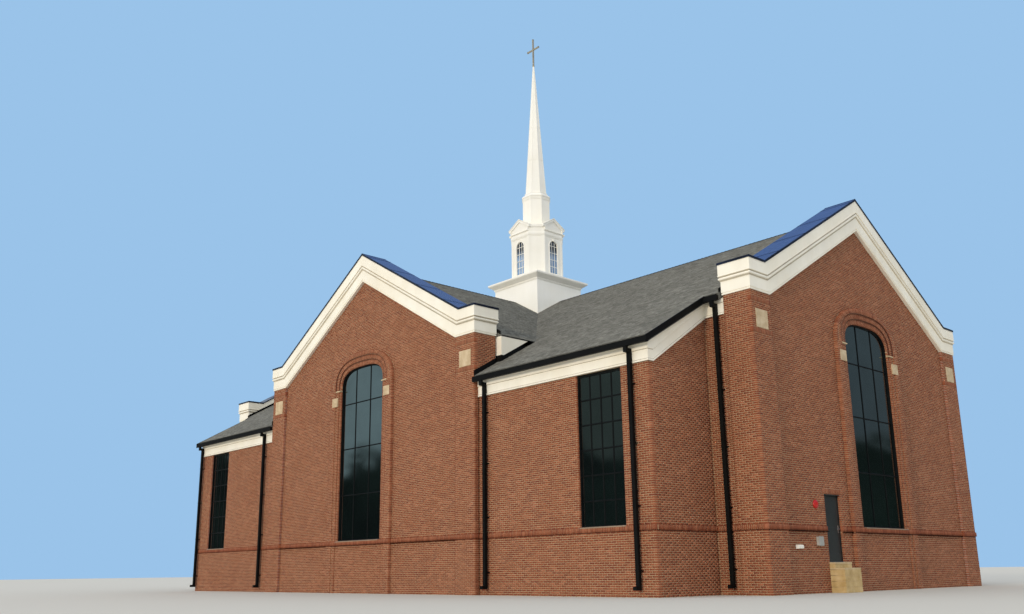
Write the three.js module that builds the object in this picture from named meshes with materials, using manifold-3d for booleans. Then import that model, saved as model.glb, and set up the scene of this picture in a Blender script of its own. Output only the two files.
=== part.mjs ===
// A brick church on a cross-shaped plan: four gable ends under white cornices, low wings in the corners of
// the cross, shingled roofs, and a white steeple over the crossing. Millimetres, +Z up. The origin is on the
// plane of the lowest ground, under the steeple; +X faces the gable that has the door, -Y the south gable.
import * as THREE from "three";
import { mergeVertices } from "three/addons/utils/BufferGeometryUtils.js";
import Module from "manifold-3d";

const wasm = await Module();
wasm.setup();

// Space kept between two pieces that touch, how far a fused part runs into its carrier, how far a cutter
// runs past what it cuts, and lengths that reach past the whole building.
const GAP = 0.3;
const LAP = 50;
const THROUGH = 200;
const TALL = 20000;
const WIDE = 12000;
const LONG = 30000;

// Plan. The gable fronts are measured to the brick face of their corner piers.
const SOUTH_FRONT = 10480;
const EAST_FRONT = 17050;
const GABLE_HALF = 7390;
const PIER_INNER = 6300;
const RETURN_DEPTH = 1010;
const WING_END = 15190;
const WING_FACE = 10270;
const ARM_FACE = 7290;
const WALL = 360;
const FIELD_RECESS = 100;

// Heights above the lowest ground, and the belt course.
const FLOOR_TOP = 940;
const BELT_BOTTOM = 1900;
const BELT_TOP = 2050;
const BELT_OUT = 30;

// Gable cornice: its top line runs flat, rises along the rake, and meets at the peak. Each band of its
// section is given by its depth under that line, square to it, and by how far it stands out of the brick.
const CORNER_TOP = 10350;
const PEAK_TOP = 14220;
const KINK = 6589;
const COPING_THICK = 55;
const COPING_OUT = 106;
const CORNICE_DEPTH = 1080;
const FASCIA_OUT = 88;
const CORNICE_BANDS = [
  { from: 55, to: 470, out: FASCIA_OUT },
  { from: 470, to: 515, out: 60 },
  { from: 515, to: 590, out: 72 },
  { from: 590, to: 640, out: 48 },
  { from: 640, to: 1000, out: 36 },
  { from: 1000, to: CORNICE_DEPTH, out: 16 },
];
const RAKE = (PEAK_TOP - CORNER_TOP) / KINK;
const RAKE_COS = 1 / Math.hypot(1, RAKE);

// Back plate of a cornice behind its rake, and the white side wall of a short arm under its roof.
const PLATE = { half: 5900, front: 500 };
const SIDE_WALL = { thick: 100, out: 16, lap: 60 };

// Roofs: one pitch on all slopes. The eaves are measured from the middle of the cross to the shingle edge.
const RIDGE_Z = 13700;
const PITCH = 0.577;
const ROOF_THICK = 250;
const WING_EAVE = 10500;
const ARM_EAVE = 7520;
const SIDE_EAVE = 7630;
const RAKE_EDGE = 15400;

// Gutters, rake boards and downpipes.
const GUTTER = { out: 110, high: 180, below: 8 };
const RAKE_BOARD = { thick: 30, above: 12, high: 225 };
const PIPE = { wide: 130, deep: 105, off: 75, foot: 200 };
const PIPE_SHOE = { deep: 240, high: 110 };
const PIPE_ELBOW = { out: 310, from: 180, to: 60 };
const PIPE_RISER = { from: 235, to: 325 };
const ARM_PIPE_X = 15720;

// White frieze under the wing roofs: its lower board and the thicker upper one.
const FRIEZE_BOARDS = [
  { out: 45, wing: 6880, arm: 8680 },
  { out: 70, wing: 7250, arm: 9080 },
];
const FRIEZE_LEVEL = 200;

// Tall arched window of a gable: half width, spring height, rise and squareness of the arch. The brick
// orders round it step back towards the glass.
const ARCH = { half: 1540, spring: 8440, rise: 830, power: 3 };
const ARCH_ORDERS = [
  { half: 2270, rise: 1430, power: 2.3, out: 20 },
  { half: 1890, rise: 1235, power: 2.8, out: -15 },
  { half: 1670, rise: 1030, power: 2.9, out: -50 },
];
const GLASS_BACK = 165;
const GLASS_THICK = 40;

// Tall flat window of a wing.
const WING_WINDOW = { x0: 12205, x1: 14090, back: 110 };

// Doorway and door of the east gable, measured along Y, and the two steps under it.
const DOOR = { y0: -3860, y1: -2900, top: 3080, frame: 45, deep: 120, gap: 8, thick: 45, back: 80 };
const HINGE = { radius: 9, long: 110, heights: [260, 1000, 1740], sink: 5, leaf: 40 };
const STEPS = { beside: 40, upper: { out: 200, drop: 10 }, lower: { out: 500, drop: 180 } };

// Steeple, from the roof up.
const BASE = { half: 1530, foot: 12500, top: 14660, mouldOut: 30, mouldHigh: 60 };
const BASE_CORNICE = { half: 1790, lip: 30, coveTop: 14810, lipFoot: 14830, top: 14920, slope: 40 };
const BELFRY = { half: 1190, cut: 565, wall: 50, foot: 14980, top: 17200, glass: 30 };
const BELFRY_LIGHT = { half: 270, sill: 15230, spring: 16670 };
const ENTABLATURE_TOP = 17700;
const CAP_FOOT = 17590;
const ENTABLATURE_BANDS = [
  { from: BELFRY.top, to: 17280, out: 40 },
  { from: 17270, to: CAP_FOOT + 10, out: 15 },
  { from: CAP_FOOT, to: ENTABLATURE_TOP, out: 55 },
];

// Pediments over the four wide sides: raking boards that reach past the corners, over a sunk panel that
// stands on a thin sill.
const PEDIMENT = { half: 750, out: 1255, apex: 18150, rake: 150 };
const PEDIMENT_PANEL = { half: 580, sunk: 45, sillHalf: 640, sillFoot: 17410, foot: 17450 };
const DRUM = { half: 680, top: 19470, bandHigh: 60, bandOut: 15 };
const DRUM_CAP = { half: 725, foot: 19510, rim: 19560, top: 19730, topHalf: 560 };
const SPIRE = { half: 530, tip: 27380, tipHalf: 30, tipHigh: 60 };
const CROSS = { top: 28870, arm: 28250, half: 420, bar: 35 };

const COLOURS = {
  brick: 0x9c5a45,
  white: 0xf0ead9,
  coping: 0x2b3340,
  shingle: 0x6e6c68,
  gutter: 0x1b1b19,
  glass: 0x1d2c33,
  stone: 0xc8b48f,
  floor: 0xb5b0a6,
  doorFrame: 0x20282b,
  doorLeaf: 0x2a3638,
  cross: 0xb9b39a,
};

function solid(geometry) {
  const bare = geometry.index ? geometry.toNonIndexed() : geometry.clone();
  bare.deleteAttribute("normal");
  bare.deleteAttribute("uv");
  const merged = mergeVertices(bare, 1e-3);
  const all = merged.index.array;
  const kept = [];
  for (let i = 0; i < all.length; i += 3) {
    const [a, b, c] = [all[i], all[i + 1], all[i + 2]];
    if (a !== b && b !== c && c !== a) kept.push(a, b, c);
  }
  return new wasm.Manifold(
    new wasm.Mesh({
      numProp: 3,
      vertProperties: new Float32Array(merged.attributes.position.array),
      triVerts: new Uint32Array(kept),
    }),
  );
}

function box(x0, x1, y0, y1, z0, z1) {
  const g = new THREE.BoxGeometry(Math.abs(x1 - x0), Math.abs(y1 - y0), z1 - z0);
  g.translate((x0 + x1) / 2, (y0 + y1) / 2, (z0 + z1) / 2);
  return solid(g);
}

function outline(points) {
  return new THREE.Shape(points.map(([a, b]) => new THREE.Vector2(a, b)));
}

// A plan outline raised from z0 to z1.
function upright(points, z0, z1) {
  const g = new THREE.ExtrudeGeometry(outline(points), { depth: z1 - z0, bevelEnabled: false });
  g.translate(0, 0, z0);
  return solid(g);
}

// An outline in X and Z, running from y0 to y1.
function alongY(points, y0, y1) {
  const g = new THREE.ExtrudeGeometry(outline(points), { depth: y1 - y0, bevelEnabled: false });
  g.rotateX(Math.PI / 2);
  g.translate(0, y1, 0);
  return solid(g);
}

// An outline in Y and Z, running from x0 to x1.
function alongX(points, x0, x1) {
  const g = new THREE.ExtrudeGeometry(outline(points), { depth: x1 - x0, bevelEnabled: false });
  g.rotateX(Math.PI / 2);
  g.rotateZ(Math.PI / 2);
  g.translate(x0, 0, 0);
  return solid(g);
}

// A regular tower of rings: each ring gives the distance from the axis to a flat side, and its height.
function tower(sides, rings) {
  const corner = 1 / Math.cos(Math.PI / sides);
  const points = rings.map(([half, z]) => new THREE.Vector2(half * corner, z));
  points.unshift(new THREE.Vector2(0, rings[0][1]));
  points.push(new THREE.Vector2(0, rings[rings.length - 1][1]));
  const g = new THREE.LatheGeometry(points, sides);
  g.rotateX(Math.PI / 2);
  g.rotateZ(Math.PI / sides);
  return solid(g);
}

function join(parts) {
  return parts.reduce((sum, part) => sum.add(part));
}

// An arch on straight legs: the head is a superellipse from spring to spring.
function archOutline({ half, rise, power }, spring, foot, steps = 24) {
  const points = [[half, foot]];
  for (let i = 0; i <= steps; i++) {
    const angle = (Math.PI * i) / steps;
    const across = Math.cos(angle);
    const up = i % steps ? Math.sin(angle) ** (2 / power) : 0;
    points.push([half * Math.sign(across) * Math.abs(across) ** (2 / power), spring + rise * up]);
  }
  points.push([-half, foot]);
  return points;
}

// Where the cornice line, at a depth under its top, turns up into the rake.
function kinkAt(depth) {
  return KINK - (depth * (1 / RAKE_COS - 1)) / RAKE;
}

function bandOutline(from, to, half) {
  return [
    [-half, CORNER_TOP - to],
    [-kinkAt(to), CORNER_TOP - to],
    [0, PEAK_TOP - to / RAKE_COS],
    [kinkAt(to), CORNER_TOP - to],
    [half, CORNER_TOP - to],
    [half, CORNER_TOP - from],
    [kinkAt(from), CORNER_TOP - from],
    [0, PEAK_TOP - from / RAKE_COS],
    [-kinkAt(from), CORNER_TOP - from],
    [-half, CORNER_TOP - from],
  ];
}

// The gable pieces are made facing -Y, with the brick front at y = -front, and turned into place.
function gableWall(front, hasOpenReturn) {
  const under = CORNICE_DEPTH + GAP;
  const top = CORNER_TOP - under;
  const wall = [
    [-GABLE_HALF, 0],
    [GABLE_HALF, 0],
    [GABLE_HALF, top],
    [kinkAt(under), top],
    [0, PEAK_TOP - under / RAKE_COS],
    [-kinkAt(under), top],
    [-GABLE_HALF, top],
  ];
  const field = -front + FIELD_RECESS;
  const back = field + WALL;
  const beltEnd = hasOpenReturn ? -front + RETURN_DEPTH : -WING_FACE - 1;
  const parts = [alongY(wall, field, back)];
  for (const s of [-1, 1]) {
    const outer = s * GABLE_HALF;
    const beltOuter = s * (GABLE_HALF + BELT_OUT);
    parts.push(box(s * PIER_INNER, outer, -front, field + LAP, 0, top));
    parts.push(box(s * (GABLE_HALF - WALL), outer, -front, -front + RETURN_DEPTH, 0, top));
    const beltInner = s * (PIER_INNER - BELT_OUT);
    parts.push(box(beltInner, beltOuter, -front - BELT_OUT, field + LAP, BELT_BOTTOM, BELT_TOP));
    parts.push(box(s * (GABLE_HALF - LAP), beltOuter, -front - BELT_OUT, beltEnd, BELT_BOTTOM, BELT_TOP));
  }
  parts.push(box(-PIER_INNER, PIER_INNER, field - BELT_OUT, field + LAP, BELT_BOTTOM, BELT_TOP));
  const [outer, middle, inner] = ARCH_ORDERS;
  const cutFront = -front - THROUGH;
  const surround = alongY(archOutline(outer, ARCH.spring, 0), -front - outer.out, field + LAP)
    .subtract(alongY(archOutline(middle, ARCH.spring, -THROUGH), cutFront, -front - middle.out))
    .subtract(alongY(archOutline(inner, ARCH.spring, -THROUGH), cutFront, -front - inner.out));
  parts.push(surround);
  const sillHalf = outer.half + BELT_OUT;
  parts.push(box(-sillHalf, sillHalf, -front - outer.out - BELT_OUT, field + LAP, BELT_BOTTOM, BELT_TOP));
  return join(parts).subtract(alongY(archOutline(ARCH, ARCH.spring, BELT_TOP), cutFront, back + THROUGH));
}

function gableCornice(front, withSides) {
  const parts = CORNICE_BANDS.map(({ from, to, out }) => {
    const cover = to < CORNICE_DEPTH ? 1 : 0;
    return alongY(bandOutline(from, to + cover, GABLE_HALF + out), -front - out, -front + RETURN_DEPTH + out);
  });
  const plate = bandOutline(CORNICE_BANDS[0].from, CORNICE_DEPTH, GABLE_HALF);
  const inRake = box(-PLATE.half, PLATE.half, -front, -front + 2 * RETURN_DEPTH, 0, PEAK_TOP);
  parts.push(alongY(plate, -front + PLATE.front, -front + RETURN_DEPTH + FASCIA_OUT).intersect(inRake));
  if (withSides) {
    const under = CORNER_TOP - CORNICE_DEPTH + SIDE_WALL.lap;
    const start = -front + RETURN_DEPTH;
    const end = -ARM_FACE - 2 * GAP;
    const top = RIDGE_Z - PITCH * ARM_FACE - ROOF_THICK - GAP;
    const side = [
      [start + GAP, RIDGE_Z + PITCH * (start + GAP) - ROOF_THICK],
      [end, RIDGE_Z + PITCH * end - ROOF_THICK - SIDE_WALL.out],
      [end, top],
      [start + SIDE_WALL.out, top],
      [start + SIDE_WALL.out, under],
      [start + GAP, under],
    ];
    parts.push(alongX(side, ARM_FACE - SIDE_WALL.thick, ARM_FACE));
    parts.push(alongX(side, -ARM_FACE, SIDE_WALL.thick - ARM_FACE));
  }
  return join(parts);
}

function gableCoping(front) {
  const line = bandOutline(0, COPING_THICK - GAP, GABLE_HALF + COPING_OUT);
  return alongY(line, -front - COPING_OUT, -front + RETURN_DEPTH + COPING_OUT);
}

function gableGlass(front) {
  const pane = { half: ARCH.half - GAP, rise: ARCH.rise - GAP, power: ARCH.power };
  const line = archOutline(pane, ARCH.spring, BELT_TOP + GAP);
  return alongY(line, -front + GLASS_BACK, -front + GLASS_BACK + GLASS_THICK);
}

// Everything under a pitched roof whose ridge is lifted by so much, out to some reach each way along it.
function underRidge(lift) {
  const z = RIDGE_Z + lift;
  const edge = z - PITCH * WIDE;
  return [[-WIDE, -THROUGH], [WIDE, -THROUGH], [WIDE, edge], [0, z], [-WIDE, edge]];
}

function underNaveRoof(lift, reach = LONG) {
  return alongX(underRidge(lift), -reach, reach);
}

function underTranseptRoof(lift, reach = LONG) {
  return alongY(underRidge(lift), -reach, reach);
}

// South-east slope of the transept roof. It runs from the ridge over the short arm to the eave beside it.
function transeptRoof() {
  const back = SOUTH_FRONT - RETURN_DEPTH - FASCIA_OUT - GAP;
  const plan = [[GAP, -3 * GAP], [GAP, -back], [SIDE_EAVE, -back], [SIDE_EAVE, -SIDE_EAVE - 2 * GAP]];
  const slab = underTranseptRoof(0).subtract(underTranseptRoof(-ROOF_THICK, LONG + LAP));
  return slab.intersect(upright(plan, 0, TALL));
}

// South-east slope of the nave roof, from the ridge down over the wing. Beside the short arm it runs on
// under the eave of the transept roof.
function naveRoof() {
  const back = EAST_FRONT - RETURN_DEPTH - FASCIA_OUT - GAP;
  const pierBack = -SOUTH_FRONT + RETURN_DEPTH + GAP;
  const plan = [
    [GAP, -GAP],
    [ARM_FACE + GAP, -ARM_FACE - GAP],
    [ARM_FACE + GAP, pierBack],
    [GABLE_HALF + GAP, pierBack],
    [GABLE_HALF + GAP, -WING_EAVE],
    [RAKE_EDGE, -WING_EAVE],
    [RAKE_EDGE, -ARM_EAVE],
    [back, -ARM_EAVE],
    [back, -GAP],
  ];
  const eave = box(0, SIDE_EAVE + GAP, -WIDE, -ARM_FACE - GAP, 0, TALL);
  const overlap = underTranseptRoof(GAP).subtract(underTranseptRoof(-ROOF_THICK - GAP, LONG + LAP));
  const slab = underNaveRoof(0).subtract(underNaveRoof(-ROOF_THICK, LONG + LAP));
  return slab.intersect(upright(plan, 0, TALL)).subtract(overlap.intersect(eave));
}

function wingWall() {
  const face = -WING_FACE;
  const armFace = -ARM_FACE;
  const armEnd = EAST_FRONT - RETURN_DEPTH - GAP;
  const beltStart = GABLE_HALF + BELT_OUT + GAP;
  const end = WING_END + BELT_OUT;
  const parts = [
    box(GABLE_HALF + GAP, WING_END, face, face + WALL, 0, TALL),
    box(WING_END - WALL, WING_END, face, armFace + WALL, 0, TALL),
    box(WING_END - WALL, armEnd, armFace, armFace + WALL, 0, TALL),
    box(beltStart, end, face - BELT_OUT, face + LAP, BELT_BOTTOM, BELT_TOP),
    box(WING_END - LAP, end, face - BELT_OUT, armFace + LAP, BELT_BOTTOM, BELT_TOP),
    box(WING_END - LAP, armEnd, armFace - BELT_OUT, armFace + LAP, BELT_BOTTOM, BELT_TOP),
  ];
  const { x0, x1 } = WING_WINDOW;
  const opening = box(x0, x1, face - THROUGH, face + WALL + THROUGH, BELT_TOP, FRIEZE_BOARDS[0].wing);
  const underCornice = CORNER_TOP - CORNICE_DEPTH - GAP;
  const reach = FASCIA_OUT + GAP;
  const [cutX, cutY] = [armEnd - reach, armFace - reach];
  const cornice = box(cutX, armEnd + THROUGH, cutY, armFace + WALL + LAP, underCornice, TALL);
  return join(parts).subtract(opening).subtract(cornice).intersect(underNaveRoof(-ROOF_THICK - GAP));
}

function wingFrieze() {
  const armEnd = EAST_FRONT - RETURN_DEPTH - GAP;
  const face = -WING_FACE;
  const armFace = -ARM_FACE - GAP;
  const parts = [];
  for (const { out, wing, arm } of FRIEZE_BOARDS) {
    const side = [
      [face - out, wing],
      [face + FRIEZE_LEVEL, wing],
      [armFace, arm],
      [armFace, TALL],
      [face - out, TALL],
    ];
    parts.push(box(GABLE_HALF + GAP, WING_END + out, face - out, face - GAP, wing, TALL));
    parts.push(alongX(side, WING_END + GAP, WING_END + out));
    parts.push(box(WING_END + GAP, armEnd, armFace + GAP - out, armFace, arm, TALL));
  }
  return join(parts).intersect(underNaveRoof(-ROOF_THICK - GAP));
}

// A downpipe in front of a wall face, from its shoe up to the underside of a gutter.
function pipe(x, face, top) {
  const x0 = x - PIPE.wide / 2;
  const x1 = x + PIPE.wide / 2;
  const back = -face - PIPE.off;
  return join([
    box(x0, x1, back - PIPE.deep, back, PIPE.foot, top - PIPE_ELBOW.to),
    box(x0, x1, back - PIPE_SHOE.deep, back, PIPE.foot, PIPE.foot + PIPE_SHOE.high),
    box(x0, x1, -face - PIPE_ELBOW.out, back, top - PIPE_ELBOW.from, top - PIPE_ELBOW.to),
    box(x0, x1, -face - PIPE_RISER.to, -face - PIPE_RISER.from, top - PIPE_ELBOW.from, top + PIPE_ELBOW.to),
  ]);
}

// Gutter of a wing with its rake board, the short gutter of the arm beside it, and their downpipes.
function gutter(pipes) {
  const back = EAST_FRONT - RETURN_DEPTH - FASCIA_OUT - GAP;
  const end = RAKE_EDGE + GAP + RAKE_BOARD.thick;
  const levelAt = (eave) => RIDGE_Z - PITCH * (eave + GUTTER.out) - GUTTER.below;
  const wing = levelAt(WING_EAVE);
  const arm = levelAt(ARM_EAVE);
  const [low, high] = [-WING_EAVE - GUTTER.out, -ARM_EAVE - GAP];
  const boardTop = (y) => RIDGE_Z + PITCH * y + RAKE_BOARD.above;
  const board = [
    [low, boardTop(low) - RAKE_BOARD.high],
    [high, boardTop(high) - RAKE_BOARD.high],
    [high, boardTop(high)],
    [low, boardTop(low)],
  ];
  return join([
    box(GABLE_HALF + GAP, end, low, -WING_EAVE - GAP, wing - GUTTER.high, wing),
    box(RAKE_EDGE + GAP, back, -ARM_EAVE - GUTTER.out, -ARM_EAVE - GAP, arm - GUTTER.high, arm),
    alongX(board, RAKE_EDGE + GAP, end),
    ...pipes.map((x) => pipe(x, WING_FACE, wing - GUTTER.high)),
    pipe(ARM_PIPE_X, ARM_FACE, arm - GUTTER.high),
  ]);
}

function wingGlass() {
  const { x0, x1, back } = WING_WINDOW;
  const y = -WING_FACE + back;
  return box(x0 + GAP, x1 - GAP, y, y + GLASS_THICK, BELT_TOP + GAP, FRIEZE_BOARDS[0].wing - GAP);
}

// The floor fills the plan inside the walls, steps round the returns of the short arms, and fills the
// doorway.
function floorSlab() {
  const inner = FIELD_RECESS + WALL + GAP;
  const wingX = WING_END - WALL - GAP;
  const wingY = WING_FACE - WALL - GAP;
  const shortX = GABLE_HALF - WALL - GAP;
  const armY = ARM_FACE - WALL - GAP;
  const slab = join([
    box(-wingX, wingX, -wingY, wingY, 0, FLOOR_TOP),
    box(-shortX, shortX, -SOUTH_FRONT + inner, SOUTH_FRONT - inner, 0, FLOOR_TOP),
    box(-EAST_FRONT + inner, EAST_FRONT - inner, -armY, armY, 0, FLOOR_TOP),
    box(0, EAST_FRONT - FIELD_RECESS, DOOR.y0 + GAP, DOOR.y1 - GAP, 0, FLOOR_TOP),
  ]);
  const returns = [];
  for (const s of [-1, 1]) {
    for (const t of [-1, 1]) {
      const [x0, x1] = [s * shortX, s * (GABLE_HALF + GAP)];
      const [y0, y1] = [t * (SOUTH_FRONT - RETURN_DEPTH - GAP), t * SOUTH_FRONT];
      returns.push(box(x0, x1, y0, y1, -LAP, FLOOR_TOP + LAP));
    }
  }
  return slab.subtract(join(returns));
}

// The door pieces are made facing -Y at the origin of the east gable, as the wall is.
const DOOR_FIELD = -EAST_FRONT + FIELD_RECESS;
const DOOR_FRONT = DOOR_FIELD + DOOR.back;

function doorFrame() {
  const { y0, y1, top, frame, deep } = DOOR;
  const around = box(y0 + GAP, y1 - GAP, DOOR_FRONT, DOOR_FRONT + deep, FLOOR_TOP + GAP, top - GAP);
  const hole = box(y0 + frame, y1 - frame, DOOR_FRONT - THROUGH, DOOR_FRONT + THROUGH, 0, top - frame);
  return around.subtract(hole);
}

// The leaf hangs on three barrels that sit on the face of the frame.
function doorLeaf() {
  const { y0, y1, top, frame, gap, thick } = DOOR;
  const edge = y0 + frame + gap;
  const axis = y0 + frame - 1;
  const out = DOOR_FRONT - HINGE.radius - GAP;
  const [foot, head] = [FLOOR_TOP + gap, top - frame - gap];
  const parts = [box(edge, y1 - frame - gap, DOOR_FRONT, DOOR_FRONT + thick, foot, head)];
  for (const height of HINGE.heights) {
    const z = FLOOR_TOP + height;
    const [z0, z1] = [z - HINGE.long / 2, z + HINGE.long / 2];
    const barrel = new THREE.CylinderGeometry(HINGE.radius, HINGE.radius, HINGE.long, 24);
    barrel.rotateX(Math.PI / 2);
    barrel.translate(axis, out, z);
    parts.push(solid(barrel));
    parts.push(box(axis, edge + HINGE.leaf, out, DOOR_FRONT - HINGE.sink + 1, z0, z1));
    parts.push(box(edge, edge + HINGE.leaf, out, DOOR_FRONT + HINGE.sink, z0, z1));
  }
  return join(parts);
}

function doorSteps() {
  const [y0, y1] = [DOOR.y0 - STEPS.beside, DOOR.y1 + STEPS.beside];
  const face = DOOR_FIELD - GAP;
  const step = ({ out, drop }) => box(y0, y1, DOOR_FIELD - out, face, 0, FLOOR_TOP - drop);
  return step(STEPS.upper).add(step(STEPS.lower));
}

// Steeple base: a square box that sits over the crossing of the ridges, with a coved cornice.
function steepleBase() {
  const { half, foot, top, mouldOut, mouldHigh } = BASE;
  const cornice = BASE_CORNICE;
  const rings = [
    [half, foot],
    [half, top - mouldHigh],
    [half + mouldOut, top - mouldHigh],
    [half + mouldOut, top],
    [cornice.half - cornice.lip, cornice.coveTop],
    [cornice.half - cornice.lip, cornice.lipFoot],
    [cornice.half, cornice.lipFoot],
    [cornice.half, cornice.top],
    [BELFRY.half + cornice.slope, BELFRY.foot],
  ];
  return tower(4, rings).subtract(underNaveRoof(GAP).add(underTranseptRoof(GAP)));
}

// A square with its corners cut off by so much.
function cutSquare(half, cut) {
  const e = half - cut;
  return [[-e, -half], [e, -half], [half, -e], [half, e], [e, half], [-e, half], [-half, e], [-half, -e]];
}

// The belfry plan drawn in by so much on every side.
function belfryPlan(inset) {
  return cutSquare(BELFRY.half - inset, BELFRY.cut - inset * (2 - Math.SQRT2));
}

function belfryTube(outer, inner) {
  const [foot, top] = [BELFRY.foot + GAP, BELFRY.top - GAP];
  return upright(belfryPlan(outer), foot, top).subtract(upright(belfryPlan(inner), foot - LAP, top + LAP));
}

function belfryWalls() {
  const { half, sill, spring } = BELFRY_LIGHT;
  const light = alongY(archOutline({ half, rise: half, power: 2 }, spring, sill, 12), -WIDE, WIDE);
  return belfryTube(0, BELFRY.wall).subtract(light.add(light.rotate([0, 0, 90])));
}

function belfryPediments() {
  const { half, out, apex, rake } = PEDIMENT;
  const panel = PEDIMENT_PANEL;
  const slope = (apex - ENTABLATURE_TOP) / half;
  const gable = [
    [-panel.sillHalf, panel.sillFoot],
    [panel.sillHalf, panel.sillFoot],
    [panel.sillHalf, CAP_FOOT],
    [half, CAP_FOOT],
    [half, ENTABLATURE_TOP],
    [0, apex],
    [-half, ENTABLATURE_TOP],
    [-half, CAP_FOOT],
    [-panel.sillHalf, CAP_FOOT],
  ];
  const side = apex - rake - slope * panel.half;
  const sunk = [
    [-panel.half, panel.foot],
    [panel.half, panel.foot],
    [panel.half, side],
    [0, apex - rake],
    [-panel.half, side],
  ];
  const block = alongY(gable, -out, out);
  const front = alongY(sunk, -out - LAP, -out + panel.sunk);
  const bands = ENTABLATURE_BANDS.map((band) =>
    upright(cutSquare(BELFRY.half + band.out, BELFRY.cut + band.out * (2 - Math.SQRT2)), band.from, band.to),
  );
  const drumHole = tower(8, [[DRUM.half + GAP, ENTABLATURE_TOP], [DRUM.half + GAP, DRUM.top]]);
  const whole = join([...bands, block, block.rotate([0, 0, 90])]);
  return SIDES.reduce((sum, { turn }) => sum.subtract(turned(front, turn)), whole).subtract(drumHole);
}

function steepleDrum() {
  const { half, top, bandHigh, bandOut } = DRUM;
  return tower(8, [
    [half, ENTABLATURE_TOP + GAP],
    [half, top - bandHigh],
    [half + bandOut, top - bandHigh],
    [half + bandOut, top],
    [DRUM_CAP.half, DRUM_CAP.foot],
    [DRUM_CAP.half, DRUM_CAP.rim],
    [DRUM_CAP.topHalf, DRUM_CAP.top],
  ]);
}

function steepleSpire() {
  const { half, tip, tipHalf, tipHigh } = SPIRE;
  return tower(8, [[half, DRUM_CAP.top + GAP], [tipHalf, tip - tipHigh], [tipHalf, tip]]);
}

function steepleCross() {
  const { top, arm, half, bar } = CROSS;
  const upper = box(-bar, bar, -bar, bar, SPIRE.tip + GAP, top);
  return upper.add(box(-half, half, -bar, bar, arm - bar, arm + bar));
}

const root = new THREE.Group();
root.name = "church";

function node(name, body, color, roughness = 0.8, metalness = 0) {
  const made = body.getMesh();
  const positions = new Float32Array(made.numVert * 3);
  for (let i = 0; i < made.numVert; i++) {
    positions.set(made.vertProperties.subarray(i * made.numProp, i * made.numProp + 3), i * 3);
  }
  const geometry = new THREE.BufferGeometry();
  geometry.setAttribute("position", new THREE.BufferAttribute(positions, 3));
  geometry.setIndex(new THREE.BufferAttribute(new Uint32Array(made.triVerts), 1));
  geometry.computeVertexNormals();
  const material = new THREE.MeshStandardMaterial({ color, roughness, metalness, flatShading: true });
  const mesh = new THREE.Mesh(geometry, material);
  mesh.name = name;
  root.add(mesh);
}

const turned = (body, degrees) => (degrees ? body.rotate([0, 0, degrees]) : body);

const SIDES = [
  { name: "south", front: SOUTH_FRONT, turn: 0 },
  { name: "east", front: EAST_FRONT, turn: 90 },
  { name: "north", front: SOUTH_FRONT, turn: 180 },
  { name: "west", front: EAST_FRONT, turn: 270 },
];
for (const { name, front, turn } of SIDES) {
  const isShortArm = turn % 180 === 0;
  const wall = gableWall(front, !isShortArm);
  if (name === "east") {
    // The wall with the doorway is three pieces: one on each side of the opening and one over it.
    const left = box(-WIDE, DOOR.y0, -TALL, 0, -LAP, TALL);
    const right = box(DOOR.y1, WIDE, -TALL, 0, -LAP, TALL);
    const over = box(DOOR.y0 + GAP, DOOR.y1 - GAP, -TALL, 0, DOOR.top, TALL);
    node("east_gable_wall_left", turned(wall.intersect(left), turn), COLOURS.brick);
    node("east_gable_wall_right", turned(wall.intersect(right), turn), COLOURS.brick);
    node("east_gable_wall_over_door", turned(wall.intersect(over), turn), COLOURS.brick);
    node("east_door_frame", turned(doorFrame(), turn), COLOURS.doorFrame, 0.5);
    node("east_door_leaf", turned(doorLeaf(), turn), COLOURS.doorLeaf, 0.5);
    node("east_door_steps", turned(doorSteps(), turn), COLOURS.stone);
  } else {
    node(name + "_gable_wall", turned(wall, turn), COLOURS.brick);
  }
  node(name + "_cornice", turned(gableCornice(front, isShortArm), turn), COLOURS.white);
  node(name + "_coping", turned(gableCoping(front), turn), COLOURS.coping, 0.4, 0.6);
  node(name + "_window", turned(gableGlass(front), turn), COLOURS.glass, 0.1);
}

// The corners of the cross. The south-east one is made, and the others are its mirror images.
const QUARTERS = [
  { name: "se", mirrors: [], pipes: [7820, 14570] },
  { name: "sw", mirrors: [[1, 0, 0]], pipes: [8320, 15080] },
  { name: "ne", mirrors: [[0, 1, 0]], pipes: [7820, 14570] },
  { name: "nw", mirrors: [[1, 0, 0], [0, 1, 0]], pipes: [8320, 15080] },
];
for (const { name, mirrors, pipes } of QUARTERS) {
  const place = (body) => mirrors.reduce((sum, plane) => sum.mirror(plane), body);
  node("wing_wall_" + name, place(wingWall()), COLOURS.brick);
  node("wing_frieze_" + name, place(wingFrieze()), COLOURS.white);
  node("wing_window_" + name, place(wingGlass()), COLOURS.glass, 0.1);
  node("wing_gutter_" + name, place(gutter(pipes)), COLOURS.gutter, 0.5);
  node("nave_roof_" + name, place(naveRoof()), COLOURS.shingle, 0.95);
  node("transept_roof_" + name, place(transeptRoof()), COLOURS.shingle, 0.95);
}

node("floor_slab", floorSlab(), COLOURS.floor);
node("steeple_base", steepleBase(), COLOURS.white);
node("belfry_walls", belfryWalls(), COLOURS.white);
node("belfry_windows", belfryTube(BELFRY.wall + GAP, BELFRY.wall + GAP + BELFRY.glass), COLOURS.glass, 0.1);
node("belfry_pediments", belfryPediments(), COLOURS.white);
node("steeple_drum", steepleDrum(), COLOURS.white);
node("steeple_spire", steepleSpire(), COLOURS.white);
node("steeple_cross", steepleCross(), COLOURS.cross, 0.4, 0.7);

export default root;
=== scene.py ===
import math

import bmesh
import bpy
import numpy as np
from mathutils import Matrix, Vector


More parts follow.
